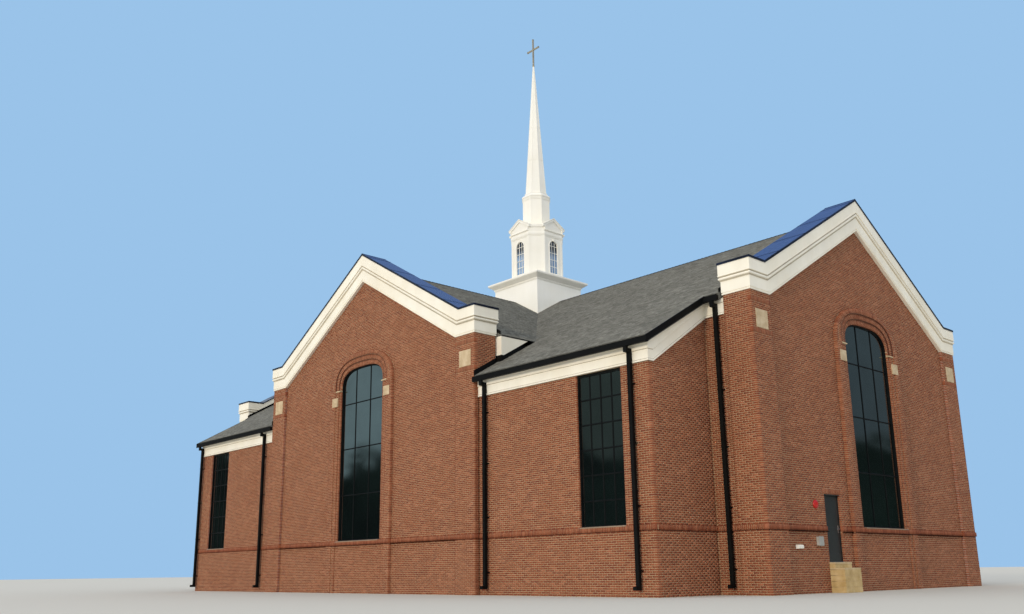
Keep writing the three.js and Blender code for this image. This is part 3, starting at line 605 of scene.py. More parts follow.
def gableBricks(side, seed):
    c, front = church, side.front
    work = Brickwork(seed)
    underPeak = c.peakTop - c.corniceDeep * math.hypot(1, rakeSlope)
    pierTop = c.cornerTop - c.corniceDeep - 0.002
    cover, proud = brick.cover, brick.proud
    face = Values(start=(0, -front), along=(1, 0), unrolled=0)
    ret = Values(start=(c.gableHalf, -front), along=(0, 1), unrolled=c.gableHalf + 0.05)
    longArm = side.name in ("east", "west")
    ringTop = arch.spring + arch.outer[1]
    crown = rowZ(math.ceil((ringTop - c.beltTop) / brick.course))
    lintelFoot, lintelTop = rowZ(door.lintelRow), rowZ(door.lintelRow + 3)

    def fieldSpans(z):
        limit = min(c.pierInner - 0.008, max(0.0, (underPeak - z) / rakeSlope - 0.004))
        if z >= crown:
            return [(-limit, limit)]
        inner = archHalf(grown(arch.outer, cover + 0.005), z) if z < ringTop else 0
        left = [(-limit, -inner)]
        if side.name == "east" and z < lintelTop:
            beside = door.bearing if z > lintelFoot else -cover
            left = [(-limit, door.y0 - beside), (door.y1 + beside, -inner)]
        return left + [(inner, limit)]

    field = {"out": -c.recess, "back": backs.field}
    gap = brick.joint / 2
    zones = storeys(crown) + [(crown, underPeak - 0.05, c.beltTop)]
    rise(work.lay, fieldSpans, zones, face, **field)
    if side.name == "east":
        inset = door.bearing - gap
        lintel = uprights([(door.y0 - inset, door.y1 + inset)], lintelFoot + gap, lintelTop - gap)
        work.lay(lintel, face, **field)

    # Piers with their upright courses round the stone block
    inner, edge = c.pierInner - cover, c.gableHalf + proud
    whole, split = [(inner, edge)], [(inner, pier.block[0] - 0.006), (pier.block[1] + 0.006, edge)]
    blockLow, blockHigh = rowZ(pier.blockRow), rowZ(pier.blockRow + pier.blockRows)
    first, last = pier.soldierRows
    zones = [(whole, zone) for zone in storeys(rowZ(first))]
    zones += [(split, (blockLow, blockHigh, c.beltTop)), (whole, (blockHigh, rowZ(last), c.beltTop)),
              (whole, (rowZ(last + 3), pierTop, c.beltTop))]
    for spans, zone in zones:
        rise(work.both, lambda z: spans, [zone], face, edge, back=backs.pier)
    for row in pier.soldierRows:
        work.both(uprights(whole, rowZ(row) + gap, rowZ(row + 3) - gap), face, back=backs.pier)

    # Returns behind the corners: beside a wing the roof hides all but a strip of them
    def returnSpan(z):
        depth = c.returnDepth + cover
        if not longArm:
            roofAt = (z - c.ridge + c.pitch * front) / c.pitch
            depth = max(front - c.wingFace, min(depth, roofAt + 0.05))
        return [(0.105, depth)]

    rise(work.both, returnSpan, storeys(pierTop), ret, 0.10, back=backs.pier)

    # Surround of the window: three orders of jamb bricks, then three rings
    outer, middle, inner, opening = arch.outer, arch.middle, arch.inner, arch.opening
    outs, under = arch.outs, arch.cover
    behind = (backs.surround, backs.middleRing, backs.surround)
    orders = [(middle[0] - cover, outer[0] + cover), (inner[0] - cover, middle[0] - 2 * cover),
              (opening[0] - cover, inner[0] - 2 * cover)]
    for number, (a, b) in enumerate(orders):
        over = {"out": outs[number], "back": behind[number]}
        zones = storeys(impost.z[0] if number else arch.spring)[::-1]
        rise(work.both, lambda z: [(a, b)], zones[:1 if number == 2 else 2], face, a if number else b, **over)
    panel = [(-inner[0] + 2 * cover, inner[0] - 2 * cover)]
    rise(work.lay, lambda z: panel, storeys(0)[:1], face, out=outs[2], back=backs.surround)
    rings = [(grown(middle, -under), grown(outer, cover)),
             (grown(inner, -under), grown(middle, -under - cover)),
             (grown(opening, -cover), grown(inner, -under - cover))]
    for number, (small, large) in enumerate(rings):
        over = {"out": outs[number], "back": behind[number]}
        if number < 2:  # a dark strip of painted shadow along the inner edge of the ring, where the next order steps back
            joint = archShadowStrip(small, grown(small, arch.joint))
            work.lay(joint, face, tone=clay.brownJoint, **over)
            small = grown(small, arch.joint + 0.002)
        work.lay(archRing(small, large), face, **over)

    # Belt of bricks on edge, leaning back a little, with a strip of painted shadow under it
    step, lean = c.beltOut, {"lift": belt.lift}
    cuts = [-c.pierInner + step, -outer[0] - step, outer[0] + step, c.pierInner - step]
    if side.name == "east":
        cuts[1:1] = [door.y0 + cover, door.y1 - cover]
    spans = list(zip(cuts[::2], cuts[1::2]))
    low, high = c.beltFoot - cover, c.beltTop + cover
    sillHalf = outer[0] + step + cover
    depth = c.returnDepth if longArm else front - c.wingFace
    work.lay(uprights(spans, low, high), face, out=step - c.recess, back=backs.field, **lean)
    work.lay(uprights([(-sillHalf, sillHalf)], low, high), face, out=outs[0] + step,
             back=backs.surround, **lean)
    pierEnds = [(c.pierInner - step - cover, c.gableHalf + step + proud)]
    work.both(uprights(pierEnds, low, high), face, out=step, back=backs.pier, **lean)
    work.both(uprights([(0.08, depth)], low, high), ret, out=step, back=backs.belt, **lean)
    high = c.beltFoot - cover - 0.001
    low = high - belt.joint
    edge, dark = outer[0] - 0.01, {"tone": clay.darkJoint}
    work.lay(strips(spans, low, high), face, out=belt.jointOut - c.recess, **dark)
    work.lay(strips([(-edge, edge)], low, high), face, out=outs[0] + 0.004, **dark)
    work.both(strips([(c.pierInner, c.gableHalf + 0.004)], low, high), face, out=belt.jointOut, **dark)
    work.both(strips([(0.0, depth)], low, high), ret, out=belt.jointOut, **dark)
    return work.piece(side.name + "_bricks", side.turn)


wingWindow = Values(x0=12.205, x1=14.09, back=0.11, top=6.88)
frieze = Values(wing=6.88, arm=8.68, level=0.20)


def wingBricks(name, flips, seed):
    c, w = church, wingWindow
    work = Brickwork(seed)
    cover, step = brick.cover, c.beltOut
    wide, deep = c.wingEnd - c.gableHalf + 0.1, c.wingFace - c.armFace
    face = Values(start=(0, -c.wingFace), along=(1, 0), unrolled=-c.gableHalf)
    gable = Values(start=(c.wingEnd, -c.wingFace), along=(0, 1), unrolled=wide)
    arm = Values(start=(0, -c.armFace), along=(1, 0), unrolled=wide + deep + 0.1 - c.wingEnd)
    start, end = c.gableHalf + 0.002, c.wingEnd + brick.proud
    armEnd = c.eastFront - c.returnDepth - 0.002
    climb = (frieze.arm - frieze.wing) / (deep - frieze.level)

    def faceSpans(z):
        if z < c.beltTop:
            return [(start, end)]
        return [(start, w.x0 + cover), (w.x1 - cover, end)]

    def gableSpans(z):
        return [(0.105 if z <= frieze.wing else frieze.level + (z - frieze.wing) / climb - 0.03, deep)]

    def armSpans(z):
        return [(c.wingEnd + 0.008, armEnd)]

    for spansAt, plane, high, edge, back in (
            (faceSpans, face, w.top + 0.02, end, backs.pier),
            (gableSpans, gable, frieze.arm + 0.02, 0.10, backs.arm),
            (armSpans, arm, frieze.arm + 0.02, armEnd, backs.arm)):
        rise(work.lay, spansAt, storeys(high), plane, edge, back=back)
    low, high = c.beltFoot - cover, c.beltTop + cover
    for plane, (a, b) in ((face, (start + step, end + step)), (gable, (0.08, deep - step)),
                          (arm, (c.wingEnd + step, armEnd))):
        work.lay(uprights([(a, b)], low, high), plane, out=step, back=backs.belt, lift=belt.lift)
        # A strip of painted shadow under the belt
        joint = strips([(a - 0.02, b - step + 0.004)], low - 0.001 - belt.joint, low - 0.001)
        work.lay(joint, plane, out=belt.jointOut, tone=clay.darkJoint)
    return work.piece("wing_bricks_" + name, flips=flips)


total = sum(gableBricks(side, 11 + number) for number, side in enumerate(sides))
total += sum(wingBricks(name, flips, 31 + number) for number, (name, flips) in enumerate(quarters.items()))
print("brickwork:", total, "bricks")


# Cut stone: blocks of the piers, stones beside the window, slabs under the arch, and sills
stone = Values(proud=0.014, margin=0.006, bevel=0.006, besideOut=0.034, impostOut=0.018)
sill = Values(foot=2.030, inner=2.050, head=2.082, edge=2.062, thick=0.012, round=0.008,
              over=0.010, gap=0.004, bevel=0.004)


# A sill that lies on the belt and hangs down over its face
def makeSill(name, x0, x1, wall, glassAt, beltAt, **where):
    s, ledge = sill, Shape()
    back, out = glassAt - s.gap, beltAt + s.over
    section = [(back, s.inner), (back, s.head), (-out + s.round, s.edge), (-out, s.edge - s.round),
               (-out, s.foot), (-out + s.thick, s.foot), (-out + s.thick, s.inner)]
    ledge.beam([(wall + y, z) for y, z in section], x0, x1)
    ledge.piece(name, "sill", "step_stone", bevel=s.bevel, **where)


def gableStones(side):
    wall, m = -side.front, stone.margin
    stones = Shape()
    blocks = [((pier.block[0] + m, pier.block[1] - m),
               (rowZ(pier.blockRow) + m, rowZ(pier.blockRow + pier.blockRows) - m), 0.03, stone.proud),
              (surroundStone.across, surroundStone.z, 0.05, stone.besideOut),
              (impost.across, impost.z, 0.08, stone.impostOut)]
    for s in (-1, 1):
        for (near, far), (low, high), back, out in blocks:
            stones.box((s * near, wall + back, low), (s * far, wall - out, high))
    stones.piece(side.name + "_stones", "limestone", "step_stone", side.turn, bevel=stone.bevel)
    half = arch.opening[0] - 0.003
    makeSill(side.name + "_sill", -half, half, wall, gableWindow.back, church.beltOut + arch.outs[0],
             turn=side.turn)


# Window frames and their bars
gableWindow = Values(
    foot=2.055, back=0.165, barHalf=0.024, uprights=(-0.53, 0.53), rails=(3.93, 5.86, 7.77), tucked=0.05,
    frame=[(0.002, -0.01), (0.002, 0.058), (0.008, 0.064), (0.040, 0.064), (0.046, 0.058), (0.046, 0.024),
           (0.062, 0.018), (0.062, -0.01)],
)
wingLight = Values(columns=(12.70, 13.155, 13.61), rows=6, foot=2.055, head=6.84, barHalf=0.026,
                   frameWide=0.048, headMore=0.03, stileOut=0.050, railOut=0.047, tucked=0.02)
belfryLight = Values(half=0.27, sill=15.23, spring=16.67, face=1.19, glass=1.1395,
                     columns=(-0.09, 0.09), rows=(15.59, 15.95, 16.31, 16.67), barHalf=0.012,
                     barOut=0.022, railOut=0.018, barBack=0.004, tucked=0.01, keyOut=0.036,
                     keystone=[(-0.035, 16.93), (0.035, 16.93), (0.050, 17.05), (-0.050, 17.05)],
                     ledgeHalf=0.36, ledgeOut=0.045, ledgeFoot=15.035, ledgeTop=15.075)


# The outline of an arched opening drawn in by so much, from its left foot round to its left spring
def openingLine(shape, spring, foot, by, steps=40):
    line, _ = archLine(grown(shape, -by), np.linspace(0, 1, steps))
    rise = spring - arch.spring
    half = shape[0] - by
    return [(-half, foot + by), (half, foot + by)] + [(float(u), float(z) + rise) for u, z in line]


def bar(shape, at, face, low, high, half, upright=False):
    side = [(half - 0.010, 0.021), (half - 0.006, 0.017), (half - 0.006, 0.011), (half, 0.008), (half, -0.01)]
    section = [(-u, out) for u, out in side[::-1]] + side
    if upright:
        shape.sweep(section, lambda u, out: [(at + u, face - out, z) for z in (low, high)])
    else:
        shape.sweep(section, lambda u, out: [(x, face - out * 0.96, at + u) for x in (low, high)])


def gableFrame(side):
    w, opening, t = gableWindow, arch.opening, gableWindow.tucked
    face = -side.front + w.back
    bars = Shape()
    bars.sweep(w.frame, lambda by, out: [
        (u, face - out, z) for u, z in openingLine(opening, arch.spring, w.foot, by)], loop=True)
    for x in w.uprights:
        bar(bars, x, face, w.foot + t, archTop(opening, x) - t, w.barHalf, upright=True)
    for z in w.rails:
        bar(bars, z, face, -opening[0] + t, opening[0] - t, w.barHalf)
    bars.piece(side.name + "_window_frame", "windowBar", "window_glass", side.turn)


def wingFrame(name, flips):
    w, light, wide, t = wingWindow, wingLight, wingLight.frameWide, wingLight.tucked
    face = -church.wingFace + w.back
    x0, x1, z0, z1 = w.x0 + 0.001, w.x1 - 0.001, light.foot, w.top - 0.002
    bars = Shape()
    for left, right, low, high, out in (
            (x0, x0 + wide, z0, z1, light.stileOut), (x1 - wide, x1, z0, z1, light.stileOut),
            (x0, x1, z0, z0 + wide, light.railOut),
            (x0, x1, z1 - wide - light.headMore, z1, light.railOut)):
        bars.box((left, face + 0.01, low), (right, face - out, high))
    for x in light.columns:
        bar(bars, x, face, z0 + t, z1 - t, light.barHalf, upright=True)
    step = (light.head - light.foot) / light.rows
    for row in range(1, light.rows):
        bar(bars, light.foot + row * step, face, x0 + t, x1 - t, light.barHalf)
    bars.piece("wing_window_frame_" + name, "windowBar", "window_glass", flips=flips, bevel=0.004)
    makeSill("wing_sill_" + name, x0, x1, -church.wingFace, w.back, church.beltOut, flips=flips)


# Cornices: mouldings given by how deep under the coping's top they are and how far out
moulding = {
    "lip": [(0.420, 0.050), (0.425, 0.090), (0.433, 0.100), (0.464, 0.100), (0.470, 0.094), (0.470, 0.050)],
    "bead": [(0.512, 0.040), (0.514, 0.074), (0.522, 0.086), (0.538, 0.092), (0.560, 0.092), (0.578, 0.086),
             (0.590, 0.072), (0.594, 0.040)],
    "foot": [(1.030, 0.000), (1.032, 0.026), (1.038, 0.032), (1.066, 0.032), (1.075, 0.028), (1.079, 0.020),
             (1.079, 0.000)],
}
# Grey strips laid in the grooves under the lip and under the bead: painted shade in the recesses
groove = {
    "upper": [(0.472, 0.0500), (0.472, 0.0612), (0.5115, 0.0612), (0.5115, 0.0500)],
    "lower": [(0.5945, 0.0400), (0.5945, 0.0492), (0.6395, 0.0492), (0.6395, 0.0400)],
}
drip = [(0.050, 0.080), (0.050, 0.1055), (0.078, 0.1055), (0.078, 0.1005), (0.058, 0.1005), (0.058, 0.080)]
seam = Values(half=0.022, high=0.007, deep=0.004, out=0.1055, apart=2.05, levelApart=0.62,
              peakHalf=0.09, peakHigh=0.008)


def gableCornice(side):
    c, front, name, turn = church, side.front, side.name, side.turn

    def line(depth, out):
        half, y, level = c.gableHalf + out, -front - out, c.cornerTop - depth
        behind = -front + c.returnDepth + out
        kink, peak = c.kink - depth * (1 / rakeCos - 1) / rakeSlope, c.peakTop - depth / rakeCos
        inner = c.kink - 0.05
        return [(-inner, behind, level), (-half, behind, level), (-half, y, level), (-kink, y, level),
                (0, y, peak), (kink, y, level), (half, y, level), (half, behind, level),
                (inner, behind, level)]

    Shape().sweeps(moulding.values(), line).piece(name + "_cornice_mouldings", "white", "white_trim", turn,
                                                  smooth=True)
    # The grooves' strips are painted shade
    Shape().sweeps(groove.values(), line).piece(name + "_cornice_grooves", "recess", "white_trim", turn)
    edge = Shape().sweeps([drip], line)
    low, high = -front - seam.out, -front + c.returnDepth + seam.out
    for s in (-1, 1):
        for at in np.arange(seam.apart / 2, c.kink / rakeCos, seam.apart):  # joint covers on the rake
            ends = [(s * (c.kink - (at + shift) * rakeCos), c.cornerTop + (at + shift) * rakeCos * rakeSlope)
                    for shift in (-seam.half, seam.half)]
            edge.prism(band(ends, -seam.deep, seam.high / rakeCos), low, high)
        x = s * (c.kink + seam.levelApart)
        ends = [(x + u, c.cornerTop) for u in (-seam.half, seam.half)]
        edge.prism(band(ends, -seam.deep, seam.high), low, high)
    half, z = seam.peakHalf, c.peakTop
    peak = [(-half, z - half * rakeSlope), (0, z), (half, z - half * rakeSlope)]
    edge.prism(band(peak, -seam.deep, seam.peakHigh), low, high)
    edge.piece(name + "_coping_joints", "coping", "coping_metal", turn, bevel=0.002)


# Frieze of the wings: each part has its heights on the wing and on the arm, and its section
friezeParts = {
    "mouldings": [
        (6.88, 8.68, [(0.000, 0.020), (0.000, 0.052), (0.008, 0.060), (0.040, 0.060), (0.052, 0.052),
                      (0.058, 0.046), (0.058, 0.020)]),
        (7.25, 9.08, [(0.001, 0.050), (0.001, 0.073), (0.006, 0.077), (0.014, 0.077), (0.020, 0.073),
                      (0.020, 0.050)]),
        (7.25, None, [(0.150, 0.050), (0.155, 0.080), (0.175, 0.088), (0.215, 0.098), (0.235, 0.098),
                      (0.235, 0.050)]),  # this one stays under the level eave
    ],
    # Joints: grey strips of painted shadow, one above the foot moulding and one under the edge of the upper
    # board
    "joints": [
        (6.88, 8.68, [(0.059, 0.030), (0.059, 0.0462), (0.072, 0.0462), (0.072, 0.030)]),
        (7.25, 9.08, [(-0.017, 0.030), (-0.017, 0.0465), (0.0, 0.0465), (0.0, 0.030)]),
    ],
}


def wingFrieze(name, flips):
    c = church
    for kind, parts in friezeParts.items():
        shape = Shape()
        for wing, arm, section in parts:
            def line(up, out):
                x, y = c.wingEnd + out, -c.wingFace - out
                level = [(c.gableHalf + 0.008, y, wing + up), (x, y, wing + up)]
                if arm is None:
                    return level
                return level + [(x, -c.wingFace + frieze.level, wing + up), (x, -c.armFace - out, arm + up),
                                (c.eastFront - c.returnDepth - 0.008, -c.armFace - out, arm + up)]
            shape.sweep(section, line)
        # The joints take the grey of painted shade
        trim = kind == "mouldings"
        shape.piece("wing_frieze_" + kind + "_" + name, "white" if trim else "recess", "white_trim",
                    flips=flips, smooth=trim)


# Roofs. Tabs are laid on a slope by how far along the ridge and how far out from it in plan.
tab = Values(
    step=0.1239, lap=0.02, tucked=0.002, thick=0.007, more=0.006, uneven=0.002,
    widths=(0.11, 0.23), slit=0.003, shift=0.3, usual=0.15, spare=12,  # enough of them for a row
    shortest=0.05, narrowest=0.02, spread=0.004, pastNave=0.02, pastTransept=0.015,
)
ridgeCap = Values(apart=0.2, half=0.14, low=0.006, high=0.020, crown=0.004, under=0.002, deep=0.01)


def roofAt(out):
    return church.ridge - church.pitch * abs(out)


def layTabs(spanAt, eave, random):
    rows, tones, flat = [], [], []
    pitch = church.pitch
    cos = 1 / math.hypot(1, pitch)
    for number in range(math.ceil(eave / tab.step)):
        low = eave - number * tab.step
        high = max(0.0, low - tab.step - tab.lap)
        middle = max(0.01, low - tab.step / 2)
        (a, b), (c, d) = spanAt(low, middle), spanAt(high, middle)
        if b - a < tab.shortest:
            continue
        start = min(a, c)
        count = int((max(b, d) - start) / tab.usual) + tab.spare
        start -= random.uniform(0, tab.shift)
        edges = start + np.concatenate([[0], np.cumsum(random.uniform(*tab.widths, count))])
        left, right = edges[:-1], edges[1:] - tab.slit
        ends = np.stack([np.clip(at, *span) for span in ((a, b), (c, d)) for at in (left, right)])
        ends = ends[:, ends[1] - ends[0] + ends[3] - ends[2] > tab.narrowest]
        many = ends.shape[1]
        thick = tab.thick + tab.more * random.integers(0, 2, many) + random.uniform(0, tab.uneven, many)
        under, tucked = np.full(many, -tab.tucked), np.full(many, tab.tucked)
        across = ends[[0, 1, 0, 1, 2, 3]].T
        lift = np.stack([under, under, thick, thick, tucked, tucked], -1)
        out = np.array([low] * 4 + [high] * 2) + lift * pitch * cos
        rows.append(np.stack([across, out, church.ridge - pitch * out + lift / cos], -1))
        flat.append(np.stack([across, out - tab.spread * (np.arange(6) < 2)], -1))
        tones.append(random.beta(2.0, 2.0, many))
    return np.concatenate(rows), np.concatenate(tones), np.concatenate(flat)


def roofPiece(name, laid, across, flips):
    corners, tones, flat = laid
    along, out, z = (corners[..., i] for i in range(3))
    at = np.stack([out, -along, z] if across else [along, -out, z], -1).reshape(-1, 3)
    blocks = [[[2, 3, 5, 4], [0, 1, 3, 2]], [[0, 2, 4], [1, 5, 3]]]
    mirrored = (flips[0] * flips[1] < 0) != across
    return laidPiece(name, "shingle", placed(at, 0, flips), blocks, mirrored, tones, flat)


def naveSpan(v, middle):
    c = church
    left = max(v, c.steepleHalf + 0.01)
    if middle > c.sideEave:
        left = c.armFace + 0.012
    if middle > c.southFront - c.returnDepth:
        left = c.gableHalf + 0.02
    return left, c.rakeEdge + 0.012 if middle > c.armEave else c.eastFront - copingBack


def transeptSpan(v, middle):
    return max(v, church.steepleHalf + 0.01), church.southFront - copingBack


def roofDress(name, flips, seed):
    random = np.random.default_rng(seed)
    laid = layTabs(naveSpan, church.wingEave + tab.pastNave, random)
    count = roofPiece("nave_shingles_" + name, laid, False, flips)
    laid = layTabs(transeptSpan, church.sideEave + tab.pastTransept, random)
    return count + roofPiece("transept_shingles_" + name, laid, True, flips)


def ridgeLine(side):
    cap, z = ridgeCap, church.ridge
    fall, length = cap.half * church.pitch, side.front - copingBack
    caps = Shape()
    at = church.steepleHalf + 0.02
    while at < length:
        end = min(at + cap.apart, length)
        caps.joined(*([(-cap.half, y, z - fall + lift), (0, y, z + lift + cap.crown),
                       (cap.half, y, z - fall + lift), (cap.half, y, z - fall - cap.under),
                       (0, y, z - cap.deep), (-cap.half, y, z - fall - cap.under)]
                      for y, lift in ((-at, cap.low), (-end, cap.high))))
        at = end
    caps.piece(side.name + "_ridge_caps", "ridgeCap", "shingle", side.turn)


# Upstands of black sheet where roofs meet walls, and the edge strips of the rakes
flashing = Values(high=0.20, low=0.13, over=0.185, edge=0.045)
boxedEave = Values(level=8.54, inner=7.31)


def wingFlashing(name, flips):
    c, f = church, flashing
    back = c.southFront - c.returnDepth
    sheet, board = Shape(), Shape()
    upstand = [(y, roofAt(y)) for y in (-c.wingEave - 0.02, -back + 0.006)]
    sheet.beam(band(upstand, -0.02, f.high), c.gableHalf + 0.001, c.gableHalf + 0.018)
    # The boxed end of the transept's eave, white over a strip of black sheet that follows the lower roof
    x, z = c.sideEave + 0.001, roofAt(c.sideEave)
    inner, level, y0, y1 = boxedEave.inner, boxedEave.level, -c.southFront + copingBack, -c.sideEave - 0.02
    under = z - f.edge
    stepAt, tip = (level - f.over - c.ridge) / c.pitch, (under - f.over - c.ridge) / c.pitch
    sheet.beam([(y0, roofAt(y0) - 0.02), (y1, z - 0.03), (y1, under), (y0, under)], inner, x - 0.001)
    sheet.box((x - 0.06, y0, under - 0.002), (x + 0.014, -c.sideEave + 0.02, z + 0.004))
    board.beam([(y0 - 0.006, level), (stepAt, level), (tip, under), (y0 - 0.006, under)], inner, x + 0.006)
    board.piece("boxed_eave_" + name, "white", "white_trim", flips=flips, bevel=0.003)
    # Strips under the tabs of the rake and the short eave
    x = c.rakeEdge + 0.003
    sheet.beam(band([(-y, roofAt(y)) for y in (c.wingEave, c.armEave)], -0.03, 0.004), x, x + 0.031)
    sheet.piece("roof_flashing_" + name, "black", "gutter_metal", flips=flips, bevel=0.002)


def gableFlashing(side):
    y = -side.front + copingBack - 0.001
    half = church.sideEave - 0.04 if side.front < church.eastFront else church.armFace + 0.2
    sheet = Shape()
    low, high = roofAt(half), church.ridge
    sheet.prism(band([(-half, low), (0, high), (half, low)], -0.01, flashing.low), y, y + 0.012)
    sheet.piece(side.name + "_parapet_flashing", "black", "gutter_metal", side.turn, bevel=0.002)


# Gutters and downpipes
gutter = Values(out=0.11, below=0.008, high=0.180, lip=0.006, hangers=0.75, firstHanger=0.3,
                hangerHalf=0.012, joints=2.7, firstJoint=1.9, jointHalf=0.02)
pipe = Values(half=0.065, deep=0.105, off=0.075, foot=0.31, rib=0.010, ribAt=0.034, ribOut=0.004,
              straps=(0.75, 2.60, 4.45, 6.25), strapHalf=0.022, strapOut=0.007, earWide=0.035,
              earOut=0.014, headDrop=0.18, armPipe=15.72)
pipesAt = {"se": (7.82, 14.57), "ne": (7.82, 14.57), "sw": (8.32, 15.08), "nw": (8.32, 15.08)}


def gutterDress(name, flips):
    c, g, p = church, gutter, pipe
    metal = Shape()
    for eave, x0, x1 in ((c.wingEave, c.gableHalf + 0.02, c.rakeEdge + 0.028),
                         (c.armEave, c.rakeEdge + 0.035, c.eastFront - copingBack)):
        y, top = -eave - g.out, roofAt(eave + g.out) - g.below
        foot = top - g.high
        metal.box((x0, y + 0.0005, top - 0.010), (x1, y + 0.012, top + g.lip))
        metal.box((x0, y + 0.0005, foot + 0.004), (x1, y + 0.006, foot + 0.020))
        for x in np.arange(x0 + g.firstHanger, x1 - 0.1, g.hangers):
            metal.box((x - g.hangerHalf, y + 0.008, top - 0.002),
                      (x + g.hangerHalf, -eave - 0.002, top + 0.004))
        for x in np.arange(x0 + g.firstJoint, x1 - 0.4, g.joints):
            metal.box((x - g.jointHalf, y + 0.0003, foot - 0.004),
                      (x + g.jointHalf, y + 0.1, top + 0.002))
    for face, xs, eave in ((c.wingFace, pipesAt[name], c.wingEave), (c.armFace, (p.armPipe,), c.armEave)):
        head = roofAt(eave + g.out) - g.below - g.high - p.headDrop
        front, wide = -face - p.off - p.deep, p.half + 0.006
        ear = wide + p.earWide
        for x in xs:
            for at in (-p.ribAt, p.ribAt):
                metal.box((x + at - p.rib, front - p.ribOut, p.foot), (x + at + p.rib, front + 0.002, head))
            for z in p.straps:
                if z < head - 0.2:
                    low, high = z - p.strapHalf, z + p.strapHalf
                    metal.box((x - wide, front - p.strapOut, low), (x + wide, -face - 0.002, high))
                    metal.box((x - ear, -face - p.earOut, low), (x + ear, -face - 0.004, high))
    metal.piece("gutter_trim_" + name, "black", "gutter_metal", flips=flips, bevel=0.0015)


# Steeple
steeple = Values(
    belfryHalf=1.19, belfryCut=0.565, drumHalf=0.68,
    boards={"belfry": (15.07, 17.12, 0.10, 0.012), "drum": (17.76, 19.36, 0.05, 0.008),
            "spire": (19.77, 27.32, 0.022, 0.006)},  # foot, head, width and thickness
    skirtPast=0.012, skirtLow=-0.02, skirtHigh=0.05, skirtOut=0.010, skirtIn=0.004,
    collar=[(0.028, 27.20), (0.050, 27.24), (0.062, 27.29), (0.050, 27.34), (0.040, 27.39), (0.046, 27.42),
            (0.028, 27.44)],
    spireHalf=0.53, spireFoot=19.73, spireTip=27.32, tipHalf=0.03, lengths=(21.65, 23.55, 25.45),
    rings=((0.68, 17.71, 17.77), (0.68, 19.35, 19.412), (0.56, 19.725, 19.78)),
    crossDeep=0.045, crossEnds=((-0.42, 28.25, 0.012, 0.05), (0.42, 28.25, 0.012, 0.05),
                                (0, 28.862, 0.05, 0.008)),
)
belfryBands = [
    [(-0.01, 14.982), (0.024, 14.982), (0.024, 15.060), (0.012, 15.078), (-0.01, 15.078)],
    [(-0.01, 17.110), (0.014, 17.116), (0.020, 17.150), (0.034, 17.180), (0.034, 17.202), (-0.01, 17.202)],
    [(0.000, 17.278), (0.034, 17.278), (0.034, 17.296), (0.018, 17.312), (0.000, 17.312)],
]
cornerBands = [
    [(0.000, 17.540), (0.022, 17.546), (0.030, 17.565), (0.048, 17.580), (0.048, 17.592), (0.000, 17.592)],
    [(0.030, 17.655), (0.064, 17.658), (0.066, 17.692), (0.056, 17.706), (0.030, 17.706)],
]
squareBands = [
    [(1.520, 14.560), (1.536, 14.562), (1.546, 14.580), (1.546, 14.600), (1.520, 14.600)],
    [(1.550, 14.608), (1.570, 14.612), (1.570, 14.648), (1.562, 14.658), (1.550, 14.658)],
    [(1.745, 14.835), (1.787, 14.832), (1.794, 14.842), (1.794, 14.908), (1.783, 14.924), (1.745, 14.924)],
]
pediment = Values(
    foot=17.70, apex=18.15, half=0.75, reach=0.010,
    roof=[(-0.040, -1.250), (-0.040, -1.262), (-0.026, -1.272), (-0.010, -1.280), (0.012, -1.280),
          (0.012, 0.0), (0.001, 0.0), (0.001, -1.250)],
    casing=[(0.004, -0.048), (0.004, 0.012), (-0.010, 0.018), (-0.050, 0.018), (-0.060, 0.010),
            (-0.060, -0.01)],
)


def square(half):
    return [(-half, -half), (half, -half), (half, half), (-half, half)]


def cutSquare(half, cut):
    e = half - cut
    return [(-e, -half), (e, -half), (half, -e), (half, e), (e, half), (-e, half), (-half, e), (-half, -e)]


def belfryRing(out):
    return cutSquare(steeple.belfryHalf + out, steeple.belfryCut + out * (2 - math.sqrt(2)))


def evenRing(half):
    return cutSquare(half, half * (2 - math.sqrt(2)))


# A line round a plan, for a sweep
def around(ring):
    return lambda half, z: [(x, y, z) for x, y in ring(half)]


# A board folded round each corner of an eight-sided plan
def cornerBoards(shape, low, high, wide, out):
    ends = []
    for ring, z in (low, high):
        made = []
        for i, corner in enumerate(ring):
            here, before, after = Vector(corner), Vector(ring[i - 1]), Vector(ring[(i + 1) % len(ring)])
            a, b = (before - here).normalized(), (after - here).normalized()
            na, nb = Vector((-a.y, a.x)), Vector((b.y, -b.x))
            reach = min(wide, (before - here).length / 3)
            tip = here + (na + nb) * out / (1 + na.dot(nb))
            made.append([(*p, z) for p in (here + a * reach, here + a * reach + na * out, tip,
                                           here + b * reach + nb * out, here + b * reach,
                                           here - (na + nb) * 0.01)])
        ends.append(made)
    for bottom, top in zip(*ends):
        shape.joined(bottom, top)


def belfryFace(number, turn):
    w, p, top = belfryLight, pediment, belfryLight.spring - arch.spring
    slope, opening = (p.apex - p.foot) / p.half, (w.half, w.half, 2)
    eave = p.foot - slope * p.reach
    front, glass = -w.face, -w.glass
    made = Shape()
    made.sweep(p.roof, lambda lift, y: [
        (-p.half - p.reach, y, eave + lift), (0, y, p.apex + lift), (p.half + p.reach, y, eave + lift)])
    made.sweep(p.casing, lambda by, out: [
        (u, front - out, z) for u, z in openingLine(opening, w.spring, w.sill, by, 25)], loop=True)
    made.prism(w.keystone, front - w.keyOut, front + w.tucked)
    made.box((-w.ledgeHalf, front - w.ledgeOut, w.ledgeFoot), (w.ledgeHalf, front + w.tucked, w.ledgeTop))
    for x in w.columns:
        head = archTop(opening, x) + top
        made.box((x - w.barHalf, glass + w.barBack, w.sill), (x + w.barHalf, glass - w.barOut, head))
    for z in w.rows:
        made.box((-w.half, glass + w.barBack, z - w.barHalf), (w.half, glass - w.railOut, z + w.barHalf))
    made.piece("belfry_face_%d" % number, "steeple", "steeple_white", turn, bevel=0.003)


